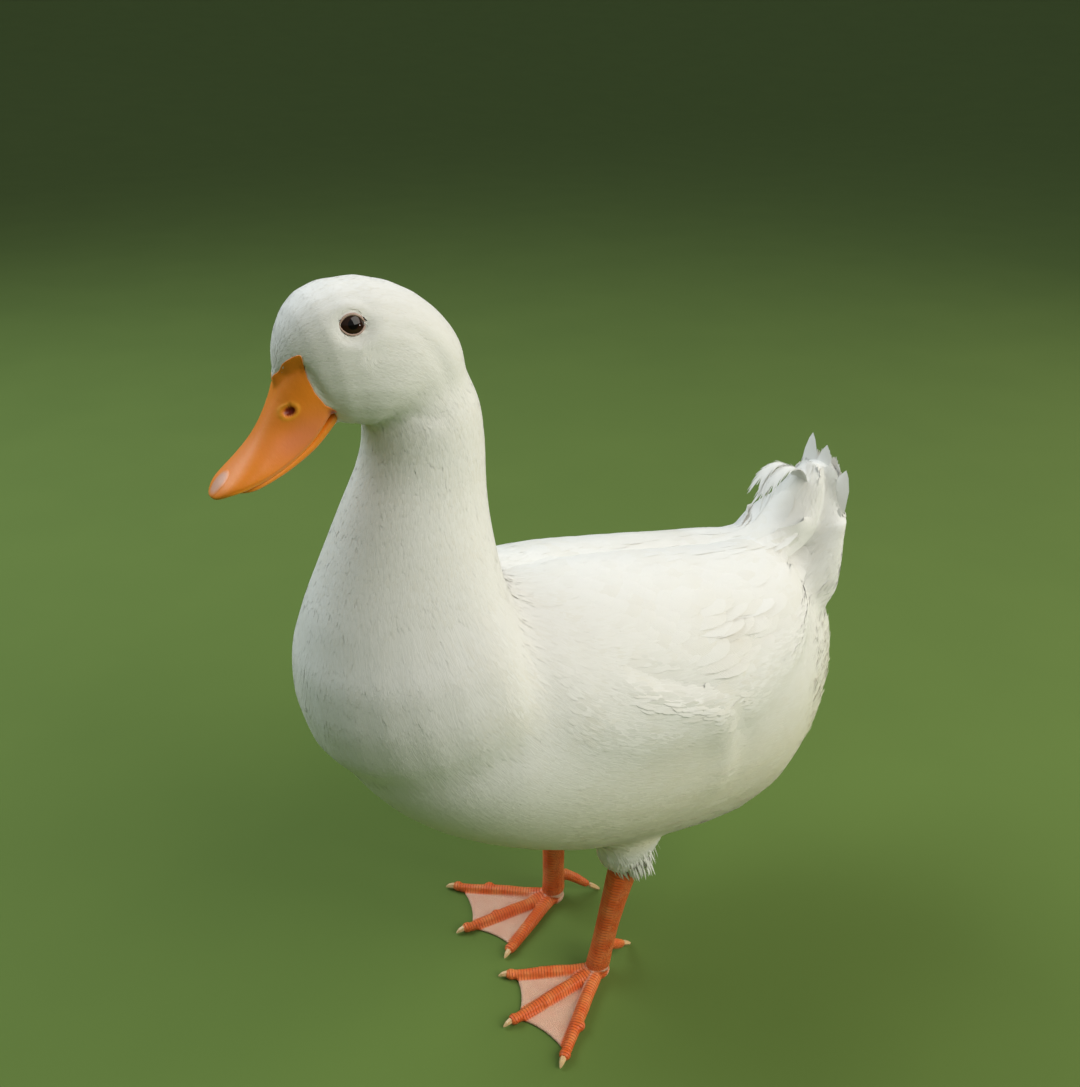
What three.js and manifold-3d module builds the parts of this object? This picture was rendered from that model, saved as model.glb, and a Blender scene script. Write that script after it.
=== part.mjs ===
// A life-size standing white domestic drake with an orange bill and orange legs.
// Millimetres, +Z up, the bird faces -Y and its left side is +X.

import * as THREE from 'three';
import { mergeVertices } from 'three/addons/utils/BufferGeometryUtils.js';
import Module from 'manifold-3d';

// ---- driving dimensions -------------------------------------------------------------------

const GAP = 0.3; // clearance between two pieces that touch
const BIG = 600; // a cutting block that is larger than the bird

const WING_THICK = 5; // folded wing, how far it stands off the trunk
const WING_INNER_X = 2; // the two wings stop this far from the middle of the back
const WING_OVER = 330; // the wing's outline passes over the back at this height
const WING_REACH = 120; // and runs out sideways past the flank

const EYE_RADIUS = 5.8;
const EYE = [17.8, -129.5, 421]; // middle of the left eyeball

const JAW_CUT = { at: [0, -96, 380], along: [0, -0.36, 0.93] }; // head from neck
const BILL_CUT = { at: [0, -144, 396], along: [0, -0.894, -0.447] }; // bill from head
const BROW_CUT = { at: [0, -151, 406], along: [0, 0.515, -0.857] }; // bill from forehead
const COLLAR_CUT = { at: [0, -95, 286], along: [0, -0.12, 0.99] }; // neck from trunk

const FOOT_SPREAD = 34; // each ankle from the middle plane
const FOOT_STAGGER = 6; // the left foot stands this far ahead, the right this far behind
const LEAN = { left: 15, right: 3 }; // each shank's top is this far behind its ankle
const SHANK_END = 6; // height at which the shank meets the foot
const TOE_RADIUS = 4.2;
const TOE_LENGTHS = { inner: 53, middle: 62, outer: 65 };
const WEB_THICK = 1.5;
const WEB_LIFT = 0.5; // the web clears the floor by this much
const HEEL_RADIUS = 6.5;
const CLAW_LENGTH = 8;
const CLAW_RADIUS = 2.1;
const CLAW_LIFT = 0.2; // the front claws clear the floor by this much

// ---- materials ----------------------------------------------------------------------------

const material = (color, roughness) => new THREE.MeshStandardMaterial({ color, roughness });
const PLUMAGE = material(0xf0ece2, 0.85);
const BILL = material(0xe8862f, 0.4);
const NAIL = material(0xe3b7a0, 0.45);
const LEG = material(0xe0572b, 0.55);
const CLAW = material(0xdcc79a, 0.5);
const EYE_DARK = material(0x1c100c, 0.05);

// ---- solids -------------------------------------------------------------------------------

const wasm = await Module();
wasm.setup();

const WELD = 1e-4; // vertices closer than this are one

// The signed volume inside a mesh: negative where its faces point inwards.
function signedVolume(position, index) {
  const [a, b, c] = [new THREE.Vector3(), new THREE.Vector3(), new THREE.Vector3()];
  let volume = 0;
  for (let i = 0; i < index.length; i += 3) {
    a.fromBufferAttribute(position, index[i]);
    b.fromBufferAttribute(position, index[i + 1]);
    c.fromBufferAttribute(position, index[i + 2]);
    volume += a.dot(b.cross(c)) / 6;
  }
  return volume;
}

// A closed three.js geometry as a solid with its faces outwards.
function solid(geometry) {
  const bare = geometry.clone();
  bare.deleteAttribute('normal');
  bare.deleteAttribute('uv');
  const merged = mergeVertices(bare, WELD);
  const index = Uint32Array.from(merged.index.array);
  if (signedVolume(merged.attributes.position, index) < 0) index.reverse();
  return new wasm.Manifold(new wasm.Mesh({
    numProp: 3,
    vertProperties: Float32Array.from(merged.attributes.position.array),
    triVerts: index,
  }));
}

// A solid as a named mesh.
function piece(name, body, look) {
  const { numProp, vertProperties, triVerts } = body.getMesh();
  const count = vertProperties.length / numProp;
  const positions = new Float32Array(count * 3);
  for (let i = 0; i < count; i += 1) {
    for (let k = 0; k < 3; k += 1) positions[3 * i + k] = vertProperties[numProp * i + k];
  }
  const geometry = new THREE.BufferGeometry();
  geometry.setAttribute('position', new THREE.BufferAttribute(positions, 3));
  geometry.setIndex(Array.from(triVerts));
  geometry.computeVertexNormals();
  const mesh = new THREE.Mesh(geometry, look);
  mesh.name = name;
  return mesh;
}

// Everything on the far side of a plane, as a block whose near face lies on it.
function beyond({ at, along }, offset = 0) {
  const direction = new THREE.Vector3(...along).normalize();
  const block = new THREE.BoxGeometry(BIG, BIG, BIG);
  block.translate(0, 0, BIG / 2 + offset);
  const turn = new THREE.Quaternion().setFromUnitVectors(new THREE.Vector3(0, 0, 1), direction);
  block.applyQuaternion(turn);
  block.translate(...at);
  return solid(block);
}

const opposite = ({ at, along }) => ({ at, along: along.map((v) => -v) });

// Half a round end: 0 at the very end of a loft, 1 from `reach` onwards.
const roundEnd = (t, reach, power = 2) =>
  (reach <= 0 || t >= reach ? 1 : (1 - (1 - t / reach) ** power) ** (1 / power));

/* A smooth closed body along a spine. Each station is [x, y, z, wide, over, under]: the middle
   of a section, its half width, and its reach towards `upward` and away from it. The sections
   are superellipses of exponent `square`, rounded off over the first and last share of the
   length given in `ends`. `grow` moves the whole surface outwards. */
function loft(stations, options = {}) {
  const { sides = 28, rings = 22, upward = [0, 0, 1], square = 2, ends = [0.2, 0.2], grow = 0 } = options;
  const path = new THREE.CatmullRomCurve3(stations.map((s) => new THREE.Vector3(s[0], s[1], s[2])));
  const reach = new THREE.CatmullRomCurve3(stations.map((s) => new THREE.Vector3(s[3], s[4], s[5])));
  const geometry = new THREE.SphereGeometry(1, sides, rings);
  const position = geometry.attributes.position;
  const reference = new THREE.Vector3(...upward);
  const unit = new THREE.Vector3();
  const bend = (value) => Math.sign(value) * Math.abs(value) ** (2 / square);
  for (let i = 0; i < position.count; i += 1) {
    unit.fromBufferAttribute(position, i);
    const t = THREE.MathUtils.clamp((1 - unit.y) / 2, 0, 1);
    const angle = Math.atan2(unit.z, unit.x);
    const along = path.getTangent(THREE.MathUtils.clamp(t, 0.001, 0.999));
    const over = reference.clone().addScaledVector(along, -reference.dot(along)).normalize();
    const side = new THREE.Vector3().crossVectors(along, over).normalize();
    const size = reach.getPoint(t);
    const cap = roundEnd(t, ends[0]) * roundEnd(1 - t, ends[1]);
    const sine = bend(Math.sin(angle));
    const point = path.getPoint(t);
    point.addScaledVector(side, size.x * cap * bend(Math.cos(angle)) + grow * unit.x);
    point.addScaledVector(over, (sine > 0 ? size.y : size.z) * cap * sine + grow * unit.z);
    point.addScaledVector(along, -grow * unit.y);
    position.setXYZ(i, point.x, point.y, point.z);
  }
  return solid(geometry);
}

const left = { name: 'left', hand: 1 };
const right = { name: 'right', hand: -1 };
const ankleY = ({ hand }) => -hand * FOOT_STAGGER;
const mirrored = (stations, hand) => stations.map(([x, ...rest]) => [x * hand, ...rest]);

// ---- flesh of the body, one shape before it is parted ---------------------------------------

// From the breast back to the rump: x, y, z, half width, reach up, reach down.
const TRUNK = [
  [0, -150, 240, 44, 42, 33],
  [0, -118, 225, 64, 58, 50],
  [0, -72, 206, 77, 74, 69],
  [0, -15, 190, 80, 83, 87],
  [0, 45, 179, 80, 82, 94],
  [0, 95, 174, 76, 79, 96],
  [0, 140, 176, 64, 81, 84],
  [0, 191, 188, 44, 58, 62],
];

// From deep in the breast up into the head: x, y, z, half width, reach forwards and back.
const NECK = [
  [0, -64, 188, 68, 62, 50],
  [0, -82, 224, 74, 74, 48],
  [0, -90, 255, 70, 73, 40],
  [0, -95, 290, 48, 57, 36],
  [0, -96, 322, 34, 37, 35],
  [0, -92, 350, 27.5, 27.5, 30.5],
  [0, -94, 378, 27, 25, 30],
  [0, -106, 400, 25, 26, 29],
];

// From the back of the head to the face: x, y, z, half width, reach up and down.
const HEAD = [
  [0, -73, 386, 18, 9, 12],
  [0, -86, 394, 24, 19, 22],
  [0, -102, 401, 27, 27, 30],
  [0, -119, 405, 27, 30.5, 34],
  [0, -139, 402, 24, 31.5, 29],
  [0, -157, 398, 17, 26, 15],
];

const trunkLoft = (grow) => loft(TRUNK, { sides: 30, rings: 24, ends: [0.24, 0.3], square: 2.1, grow });
const neckLoft = (grow) => loft(NECK, { sides: 24, rings: 18, upward: [0, -1, 0], ends: [0.2, 0.2], grow });
const headLoft = (grow) => loft(HEAD, { sides: 22, rings: 16, ends: [0.2, 0.32], square: 2.3, grow });

const fleshLoft = (grow) => trunkLoft(grow).add(neckLoft(grow)).add(headLoft(grow));

// ---- bill, along a line that points down and forwards from the gape --------------------------

const GAPE = [-139, 384]; // y, z of the corner of the mouth
const BILL_DOWN = Math.atan2(0.515, 0.857); // how far the bill points below the level

// A station given along the bill: distance from the gape, height over it, and the reaches.
function billStation(distance, height, wide, over, under) {
  const [c, s] = [Math.cos(BILL_DOWN), Math.sin(BILL_DOWN)];
  return [0, GAPE[0] - distance * c - height * s, GAPE[1] - distance * s + height * c, wide, over, under];
}

const UPPER_BILL = [
  billStation(-7, 6, 14.8, 21.5, 7.5),
  billStation(6, 3, 13.6, 21, 8),
  billStation(16, -1, 11.6, 16.8, 7.6),
  billStation(28, -2, 11.8, 10.8, 7.8),
  billStation(40, -2.5, 13, 7.2, 6.6),
  billStation(51, -1.5, 12.6, 4.2, 4.4),
  billStation(61, -1, 8, 2.2, 3),
];
const LOWER_BILL = [
  billStation(-5, -5, 12, 3, 4),
  billStation(16, -7, 10, 3, 4.4),
  billStation(34, -7.5, 10.5, 2.6, 3.6),
  billStation(53, -4.6, 8.5, 1.6, 2),
];
// The feathered point of the forehead, which runs out along the ridge of the bill.
const FOREHEAD_POINT = [
  [0, -124, 408, 12, 14, 12],
  [0, -142, 405, 10, 12, 10],
  [0, -152, 401, 6, 6.5, 6],
  [0, -159, 396, 2, 2.4, 2.4],
];
const NAIL_STATIONS = [
  billStation(51, 0.6, 4.2, 1.8, 2.6),
  billStation(57, 0.2, 5, 1.8, 3.2),
  billStation(62, -1.6, 4, 1.6, 3.4),
];

const UP_BILL = [0, -0.515, 0.857];
const upperLoft = (grow) => loft(UPPER_BILL,
  { sides: 20, rings: 12, upward: UP_BILL, square: 2.6, ends: [0.06, 0.16], grow });
const lowerLoft = (grow) => loft(LOWER_BILL,
  { sides: 14, rings: 8, upward: UP_BILL, square: 2.3, ends: [0.08, 0.2], grow });
const nailLoft = (grow) => loft(NAIL_STATIONS,
  { sides: 12, rings: 6, upward: UP_BILL, ends: [0.3, 0.4], grow });

const foreheadPoint = (grow) => loft(FOREHEAD_POINT,
  { sides: 10, rings: 6, ends: [0.2, 0.2], grow });

function eyeball(hand, grow) {
  const ball = new THREE.SphereGeometry(EYE_RADIUS + grow, 12, 8);
  ball.rotateZ(Math.PI / 2);
  ball.translate(EYE[0] * hand, EYE[1], EYE[2]);
  return solid(ball);
}

// ---- wing, a shell on the trunk inside an outline seen from the side --------------------------

// Its corners are [y, z]: the shoulder, above the back, the wing tip and along the lower edge.
function wingOutline() {
  const outline = new THREE.Shape();
  outline.moveTo(-66, 262);
  outline.bezierCurveTo(-60, 300, -10, WING_OVER, 60, WING_OVER);
  outline.lineTo(120, WING_OVER);
  outline.bezierCurveTo(150, 320, 170, 262, 166, 240);
  outline.bezierCurveTo(150, 232, 118, 216, 88, 205);
  outline.bezierCurveTo(60, 190, 20, 188, -10, 200);
  outline.bezierCurveTo(-45, 212, -70, 232, -66, 262);
  return outline;
}

// A prism of the outline: it is drawn in y and z, and its depth becomes x.
function wingPrism(hand) {
  const prism = new THREE.ExtrudeGeometry(wingOutline(),
    { depth: WING_REACH, bevelEnabled: false, curveSegments: 5 });
  prism.applyMatrix4(new THREE.Matrix4().makeBasis(
    new THREE.Vector3(0, 1, 0), new THREE.Vector3(0, 0, 1), new THREE.Vector3(1, 0, 0)));
  prism.translate(WING_INNER_X, 0, 0);
  prism.scale(hand, 1, 1);
  return solid(prism);
}

// ---- tail, an erect fan with a curled feather of a drake over it ------------------------------

const TAIL = [
  [0, 152, 196, 38, 28, 28],
  [0, 163, 226, 37, 21, 20],
  [0, 172, 252, 32, 14, 11],
  [0, 179, 280, 26, 6, 5],
  [0, 183, 309, 9, 1, 1],
];
const tailLoft = (grow) => loft(TAIL,
  { sides: 18, rings: 11, upward: [0, -1, 0], ends: [0.2, 0.14], grow });

// The curled feathers lie side by side as one lock that bends over forwards.
const CURL_THICK = 0.9;
const curlLoft = () => loft([
  [1, 159, 258, CURL_THICK, 5, 5],
  [1, 157, 277, CURL_THICK, 7, 7],
  [1, 147, 290, CURL_THICK, 7.5, 7.5],
  [1, 134, 290, CURL_THICK, 6, 6],
  [1, 127, 281, CURL_THICK, 3, 3],
], { sides: 10, rings: 9, upward: [1, 0, 0], ends: [0.1, 0.15] });

// ---- legs ------------------------------------------------------------------------------------

function thighLoft(side, grow) {
  const y = ankleY(side);
  return loft(mirrored([
    [36, y + 22, 142, 22, 26, 30],
    [36, y + 18, 112, 19, 22, 26],
    [36, y + 14, 92, 14, 15, 18],
    [36, y + 13, 80, 10, 10, 12],
  ], side.hand), { sides: 14, rings: 8, upward: [0, -1, 0], ends: [0.3, 0.3], grow });
}

// The near leg leans back from its ankle, the far one stands upright.
function shankLoft(side, grow) {
  const y = ankleY(side);
  const lean = LEAN[side.name];
  return loft(mirrored([
    [36, y + lean + 2, 88, 7, 8, 8],
    [36, y + lean, 76, 8, 9, 9],
    [35, y + lean * 0.6, 50, 6.3, 7.6, 7.6],
    [34, y + lean * 0.3, 26, 6, 7, 7],
    [34, y + 1, 10, 6.6, 7.6, 7.6],
    [34, y - 1, 3, 6, 7, 7],
  ], side.hand), { sides: 12, rings: 10, upward: [0, -1, 0], ends: [0.12, 0.1], grow });
}

// Toes spread from the ankle: the angle is measured outwards from straight ahead.
const TOES = [
  { name: 'inner', angle: -30 },
  { name: 'middle', angle: 3 },
  { name: 'outer', angle: 38 },
];

const degrees = (angle) => angle * Math.PI / 180;
const footTurn = ({ hand }) => (hand > 0 ? 0 : 3); // the right foot points a little outwards

// A point at a distance from the ankle along a toe's direction.
function toePoint(legSide, angle, distance, height) {
  const turn = degrees(angle + footTurn(legSide));
  const x = FOOT_SPREAD + Math.sin(turn) * distance;
  const y = ankleY(legSide) - Math.cos(turn) * distance;
  return [x * legSide.hand, y, height];
}

function toe(legSide, { name, angle }) {
  const length = TOE_LENGTHS[name];
  const knuckles = [0, 0.28, 0.42, 0.56, 0.72, 0.86, 1];
  const stations = knuckles.map((share, i) => {
    const radius = TOE_RADIUS * (1.15 - 0.45 * share) * (i % 2 ? 0.92 : 1.06);
    return [...toePoint(legSide, angle, length * share, radius * 0.72), radius, radius, radius];
  });
  return loft(stations, { sides: 7, rings: 7, ends: [0.05, 0.08] });
}

// The claws sit on the toe tips, curve down and stop just over the floor.
function claw(legSide, { name, angle }) {
  const start = TOE_LENGTHS[name];
  const stations = [[0.6, 3.2, 1], [0.5 * CLAW_LENGTH, 3.1, 0.85], [CLAW_LENGTH, 1.4, 0.35]]
    .map(([out, height, share]) => [...toePoint(legSide, angle, start + out, height),
      CLAW_RADIUS * share, CLAW_RADIUS * share, CLAW_RADIUS * share]);
  return loft(stations, { sides: 6, rings: 5, ends: [0.15, 0.3] });
}

// The web between two toes, with a hollow front edge.
function web(legSide, inner, outer) {
  const edge = (toeData, share) => toePoint(legSide, toeData.angle, TOE_LENGTHS[toeData.name] * share, 0);
  const middle = (inner.angle + outer.angle) / 2;
  const reach = 0.5 * (TOE_LENGTHS[inner.name] + TOE_LENGTHS[outer.name]);
  const [ankle, tipA, hollow, tipB] = [
    toePoint(legSide, middle, 4, 0), edge(inner, 0.95), toePoint(legSide, middle, reach * 0.8, 0),
    edge(outer, 0.95),
  ];
  const shape = new THREE.Shape();
  shape.moveTo(ankle[0], ankle[1]);
  shape.lineTo(tipA[0], tipA[1]);
  shape.quadraticCurveTo(hollow[0], hollow[1], tipB[0], tipB[1]);
  shape.closePath();
  const sheet = new THREE.ExtrudeGeometry(shape, { depth: WEB_THICK, bevelEnabled: false, curveSegments: 6 });
  sheet.translate(0, 0, WEB_LIFT);
  return solid(sheet);
}

// The pad under the joint of the leg, which carries the foot's rear.
function heel(side) {
  const pad = new THREE.SphereGeometry(HEEL_RADIUS, 10, 6);
  pad.scale(1, 1.15, 0.75);
  pad.translate(FOOT_SPREAD * side.hand, ankleY(side) + 1, HEEL_RADIUS * 0.45);
  return solid(pad);
}

const FLOOR = { at: [0, 0, 0], along: [0, 0, 1] };

function foot(legSide) {
  let body = toe(legSide, TOES[0]).add(toe(legSide, TOES[1])).add(toe(legSide, TOES[2]));
  body = body.add(web(legSide, TOES[0], TOES[1])).add(web(legSide, TOES[1], TOES[2]));
  body = body.add(heel(legSide));
  return body.intersect(beyond(FLOOR));
}

// The short hind toe leaves the back of the shank and reaches down and inwards.
function hallux(side, grow) {
  const y = ankleY(side);
  return loft(mirrored([
    [33, y + 3, 22, 3.4, 3.4, 3.4],
    [32, y + 12, 17, 3.4, 3.4, 3.4],
    [29, y + 21, 9, 2.7, 2.7, 2.7],
    [27, y + 25, 6, 2.2, 2.2, 2.2],
  ], side.hand), { sides: 8, rings: 6, ends: [0.1, 0.12], grow });
}

function halluxClaw(side) {
  const y = ankleY(side);
  const horn = loft(mirrored([
    [27, y + 25, 6, 1.8, 1.8, 1.8],
    [26, y + 29, 2.9, 1.6, 1.6, 1.6],
    [25, y + 33, -0.8, 1.1, 1.1, 1.1],
  ], side.hand), { sides: 6, rings: 5, ends: [0.15, 0.2] });
  return horn.intersect(beyond(FLOOR));
}

// ---- assembly -----------------------------------------------------------------------------------

const duck = new THREE.Group();
const add = (name, body, look) => duck.add(piece(name, body, look));

const flesh = fleshLoft(0);
const aboveJaw = beyond(JAW_CUT, GAP / 2);
const belowJaw = beyond(opposite(JAW_CUT), GAP / 2);
const aboveCollar = beyond(COLLAR_CUT, GAP / 2);
const belowCollar = beyond(opposite(COLLAR_CUT), GAP / 2);

const eyeSockets = eyeball(1, GAP).add(eyeball(-1, GAP));
const nail = nailLoft(0);
const beforeFace = beyond(BILL_CUT, GAP / 2);
const upper = upperLoft(0).intersect(beforeFace).subtract(foreheadPoint(GAP)).subtract(nailLoft(GAP));
const lower = lowerLoft(0).intersect(beforeFace).subtract(upperLoft(GAP)).subtract(nailLoft(GAP));

const billRoom = beyond(BILL_CUT, -GAP / 2).intersect(beyond(BROW_CUT).add(upperLoft(GAP)));
const face = flesh.intersect(aboveJaw).subtract(billRoom);
add('head', face.add(foreheadPoint(0)).subtract(eyeSockets), PLUMAGE);
add('neck', flesh.intersect(belowJaw).intersect(aboveCollar), PLUMAGE);
add('trunk', flesh.intersect(belowCollar), PLUMAGE);
add('bill_upper', upper, BILL);
add('bill_lower', lower, BILL);
add('bill_nail', nail, NAIL);

const fleshGrown = fleshLoft(GAP);
const wingShell = trunkLoft(WING_THICK).subtract(fleshGrown);
const wings = [left, right].map((side) => wingShell.intersect(wingPrism(side.hand)));
const wingRoom = trunkLoft(WING_THICK + GAP).intersect(wingPrism(1).add(wingPrism(-1)));
const tail = tailLoft(0).subtract(fleshGrown).subtract(wingRoom);
add('tail', tail, PLUMAGE);
add('tail_curl', curlLoft().subtract(tailLoft(GAP)), PLUMAGE);

[left, right].forEach((side, i) => {
  add(`wing_${side.name}`, wings[i], PLUMAGE);
  add(`eye_${side.name}`, eyeball(side.hand, 0), EYE_DARK);
  const thigh = thighLoft(side, 0).subtract(fleshGrown);
  add(`thigh_${side.name}`, thigh, PLUMAGE);
  const shank = shankLoft(side, 0).subtract(thighLoft(side, GAP)).subtract(fleshGrown);
  add(`shank_${side.name}`, shank.intersect(beyond(FLOOR, SHANK_END)), LEG);
  const shankRoom = shankLoft(side, GAP).intersect(beyond(FLOOR, SHANK_END - GAP));
  add(`foot_${side.name}`, foot(side).subtract(shankRoom), LEG);
  const hindToe = hallux(side, 0).subtract(shankLoft(side, GAP)).subtract(foot(side));
  add(`hind_toe_${side.name}`, hindToe, LEG);
  for (const toeData of TOES) {
    const own = claw(side, toeData).subtract(toe(side, toeData)).intersect(beyond(FLOOR, CLAW_LIFT));
    add(`claw_${toeData.name}_${side.name}`, own, CLAW);
  }
  add(`claw_hind_${side.name}`, halluxClaw(side).subtract(hallux(side, GAP)), CLAW);
});

// The origin is the middle of the bird's box, on the floor.
const box = new THREE.Box3().setFromObject(duck);
const middle = box.getCenter(new THREE.Vector3());
duck.position.set(-middle.x, -middle.y, -box.min.z);
duck.updateMatrixWorld(true);

export default duck;
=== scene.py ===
"""A life-size standing white domestic drake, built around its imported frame.

Metres, +Z up. The bird faces -Y and its left side is +X. Numbers named in millimetres are
turned into metres with MM, and places hang on the boxes of the frame's nodes.
"""

import math

import bmesh
import bpy
import numpy as np
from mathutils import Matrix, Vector
from mathutils.bvhtree import BVHTree


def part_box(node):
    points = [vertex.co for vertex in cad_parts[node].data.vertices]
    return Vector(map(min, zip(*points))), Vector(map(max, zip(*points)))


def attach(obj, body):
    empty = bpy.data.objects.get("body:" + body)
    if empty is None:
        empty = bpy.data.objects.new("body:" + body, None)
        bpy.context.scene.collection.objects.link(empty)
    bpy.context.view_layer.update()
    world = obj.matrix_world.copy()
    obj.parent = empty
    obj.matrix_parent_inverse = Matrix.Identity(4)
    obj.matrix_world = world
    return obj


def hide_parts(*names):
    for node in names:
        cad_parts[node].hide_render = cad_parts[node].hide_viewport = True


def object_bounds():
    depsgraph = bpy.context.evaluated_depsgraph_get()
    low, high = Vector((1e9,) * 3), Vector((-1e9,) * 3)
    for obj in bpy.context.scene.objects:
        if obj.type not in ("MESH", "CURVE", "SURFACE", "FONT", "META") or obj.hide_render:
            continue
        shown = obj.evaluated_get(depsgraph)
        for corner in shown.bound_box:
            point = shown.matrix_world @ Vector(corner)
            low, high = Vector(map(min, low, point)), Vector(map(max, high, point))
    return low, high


MM = 0.001
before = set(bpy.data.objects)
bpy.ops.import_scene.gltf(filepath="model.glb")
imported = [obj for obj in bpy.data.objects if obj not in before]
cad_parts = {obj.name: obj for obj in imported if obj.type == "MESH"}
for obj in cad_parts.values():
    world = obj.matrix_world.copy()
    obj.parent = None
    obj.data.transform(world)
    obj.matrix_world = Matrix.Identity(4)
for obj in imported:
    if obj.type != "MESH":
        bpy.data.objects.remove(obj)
CAD_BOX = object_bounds()
RNG = np.random.default_rng(11)
BODY = "root"

SIDES = {"left": 1, "right": -1}
TOE_NAMES = ("inner", "middle", "outer")


# ---- arrays ---------------------------------------------------------------------------------


def unit(v):
    """The vectors of v at length 1."""
    return v / np.maximum(np.linalg.norm(v, axis=-1, keepdims=True), 1e-12)


def ease(x, low, high):
    """0 below low, 1 above high, smooth between."""
    t = np.clip((np.asarray(x, float) - low) / (high - low), 0, 1)
    return t * t * (3 - 2 * t)


def bell(x, width):
    """1 at 0, falling to nothing a few widths away."""
    return np.exp(-((np.asarray(x, float) / width) ** 2))


def spline(points, share):
    """Places on a smooth curve through points, at shares 0 to 1 of its points."""
    p = np.asarray(points, float)
    padded = np.vstack([2 * p[0] - p[1], p, 2 * p[-1] - p[-2]])
    x = np.clip(np.asarray(share, float), 0, 1) * (len(p) - 1)
    i = np.minimum(x.astype(int), len(p) - 2)
    f = (x - i)[..., None]
    a, b, c, d = (padded[i + k] for k in range(4))
    second, third = 2 * a - 5 * b + 4 * c - d, 3 * b - a - 3 * c + d
    return 0.5 * (2 * b + (c - a) * f + second * f**2 + third * f**3)


def profile(table, x):
    """A smooth value at x from a table of (x, value, ...) rows with growing x."""
    table = np.asarray(table, float)
    share = np.interp(x, table[:, 0], np.linspace(0, 1, len(table)))
    return spline(table[:, 1:], share)


def box_middle(node):
    """The middle of a node's box."""
    low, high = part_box(node)
    return (np.array(low) + np.array(high)) / 2


def mesh_array(mesh, what):
    """The places ("co") or normals ("normal") of a mesh's points."""
    out = np.empty(len(mesh.vertices) * 3)
    mesh.vertices.foreach_get(what, out)
    return out.reshape(-1, 3)


def set_places(mesh, places):
    mesh.vertices.foreach_set("co", np.ascontiguousarray(places, np.float32).ravel())
    mesh.update()


LINE_SAMPLES = 60
FAR = 1e9


def distance_to_line(places, line):
    """Distance of each place from a smooth line through a few points, and the share along it."""
    dense = spline(line, np.linspace(0, 1, LINE_SAMPLES))
    best = np.full(len(places), FAR)
    share = np.zeros(len(places))
    for k, point in enumerate(dense):
        d = np.linalg.norm(places - point, axis=1)
        closer = d < best
        best[closer] = d[closer]
        share[closer] = k / (LINE_SAMPLES - 1)
    return best, share


# ---- driving places, worked out from the frame ------------------------------------------------

EYE = {name: box_middle(f"eye_{name}") for name in SIDES}
GAPE = np.array([0, EYE["left"][1] - 9.5 * MM, EYE["left"][2] - 37 * MM])  # corner of the mouth
BILL_DOWN = math.radians(31)
BILL_FORWARD = np.array([0, -math.cos(BILL_DOWN), -math.sin(BILL_DOWN)])
BILL_UP = np.array([0, -math.sin(BILL_DOWN), math.cos(BILL_DOWN)])
FLESH = ["head", "neck", "trunk", "wing_left", "wing_right", "thigh_left", "thigh_right"]
TAIL_SKIN_TOP = 290 * MM  # above this the tail is feathers only
SHANK_TOP = {name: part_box(f"shank_{name}")[1].z for name in SIDES}


def in_bill(places):
    """Places as millimetres along the bill, across it and over the gape."""
    d = (places - GAPE) / MM
    return d @ BILL_FORWARD, d[..., 0], d @ BILL_UP


def from_bill(along, across, over):
    """The way back from in_bill."""
    place = GAPE + MM * (np.multiply.outer(along, BILL_FORWARD) + np.multiply.outer(over, BILL_UP))
    place[..., 0] += MM * across
    return place


# ---- meshes -----------------------------------------------------------------------------------


def add_object(name, mesh, *materials):
    """An object of the mesh in the scene, with its materials."""
    for material in materials:
        mesh.materials.append(material)
    thing = bpy.data.objects.new(name, mesh)
    bpy.context.scene.collection.objects.link(thing)
    return thing


def mesh_from(bm, name):
    """A smooth mesh of bm with its faces outwards. bm is used up."""
    bmesh.ops.recalc_face_normals(bm, faces=bm.faces[:])
    if bm.calc_volume(signed=True) < 0:
        bmesh.ops.reverse_faces(bm, faces=bm.faces[:])
    mesh = bpy.data.meshes.new(name)
    bm.to_mesh(mesh)
    bm.free()
    mesh.shade_smooth()
    return mesh


def paint(mesh, masks):
    """Stores values on the mesh's points, by name, for its finish to read."""
    for label, values in masks.items():
        layer = mesh.attributes.new(label, "FLOAT", "POINT")
        layer.data.foreach_set("value", values.astype(np.float32))


def shaped_ball(sides, rings, place):
    """A closed ball whose points go where place(share from pole to pole, angle) says."""
    bm = bmesh.new()
    bmesh.ops.create_uvsphere(bm, u_segments=sides, v_segments=rings, radius=1.0)
    at = np.array([v.co for v in bm.verts])
    share = np.arccos(np.clip(at[:, 2], -1, 1)) / math.pi
    angle = np.arctan2(at[:, 1], at[:, 0])
    for vertex, spot in zip(bm.verts, place(share, angle)):
        vertex.co = spot
    return bm


def round_end(t, reach):
    """A quarter round that rises from 0 to 1 over the first reach of t."""
    return np.sqrt(np.clip(1 - (1 - np.clip(t / reach, 0, 1)) ** 2, 0, 1))


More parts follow.
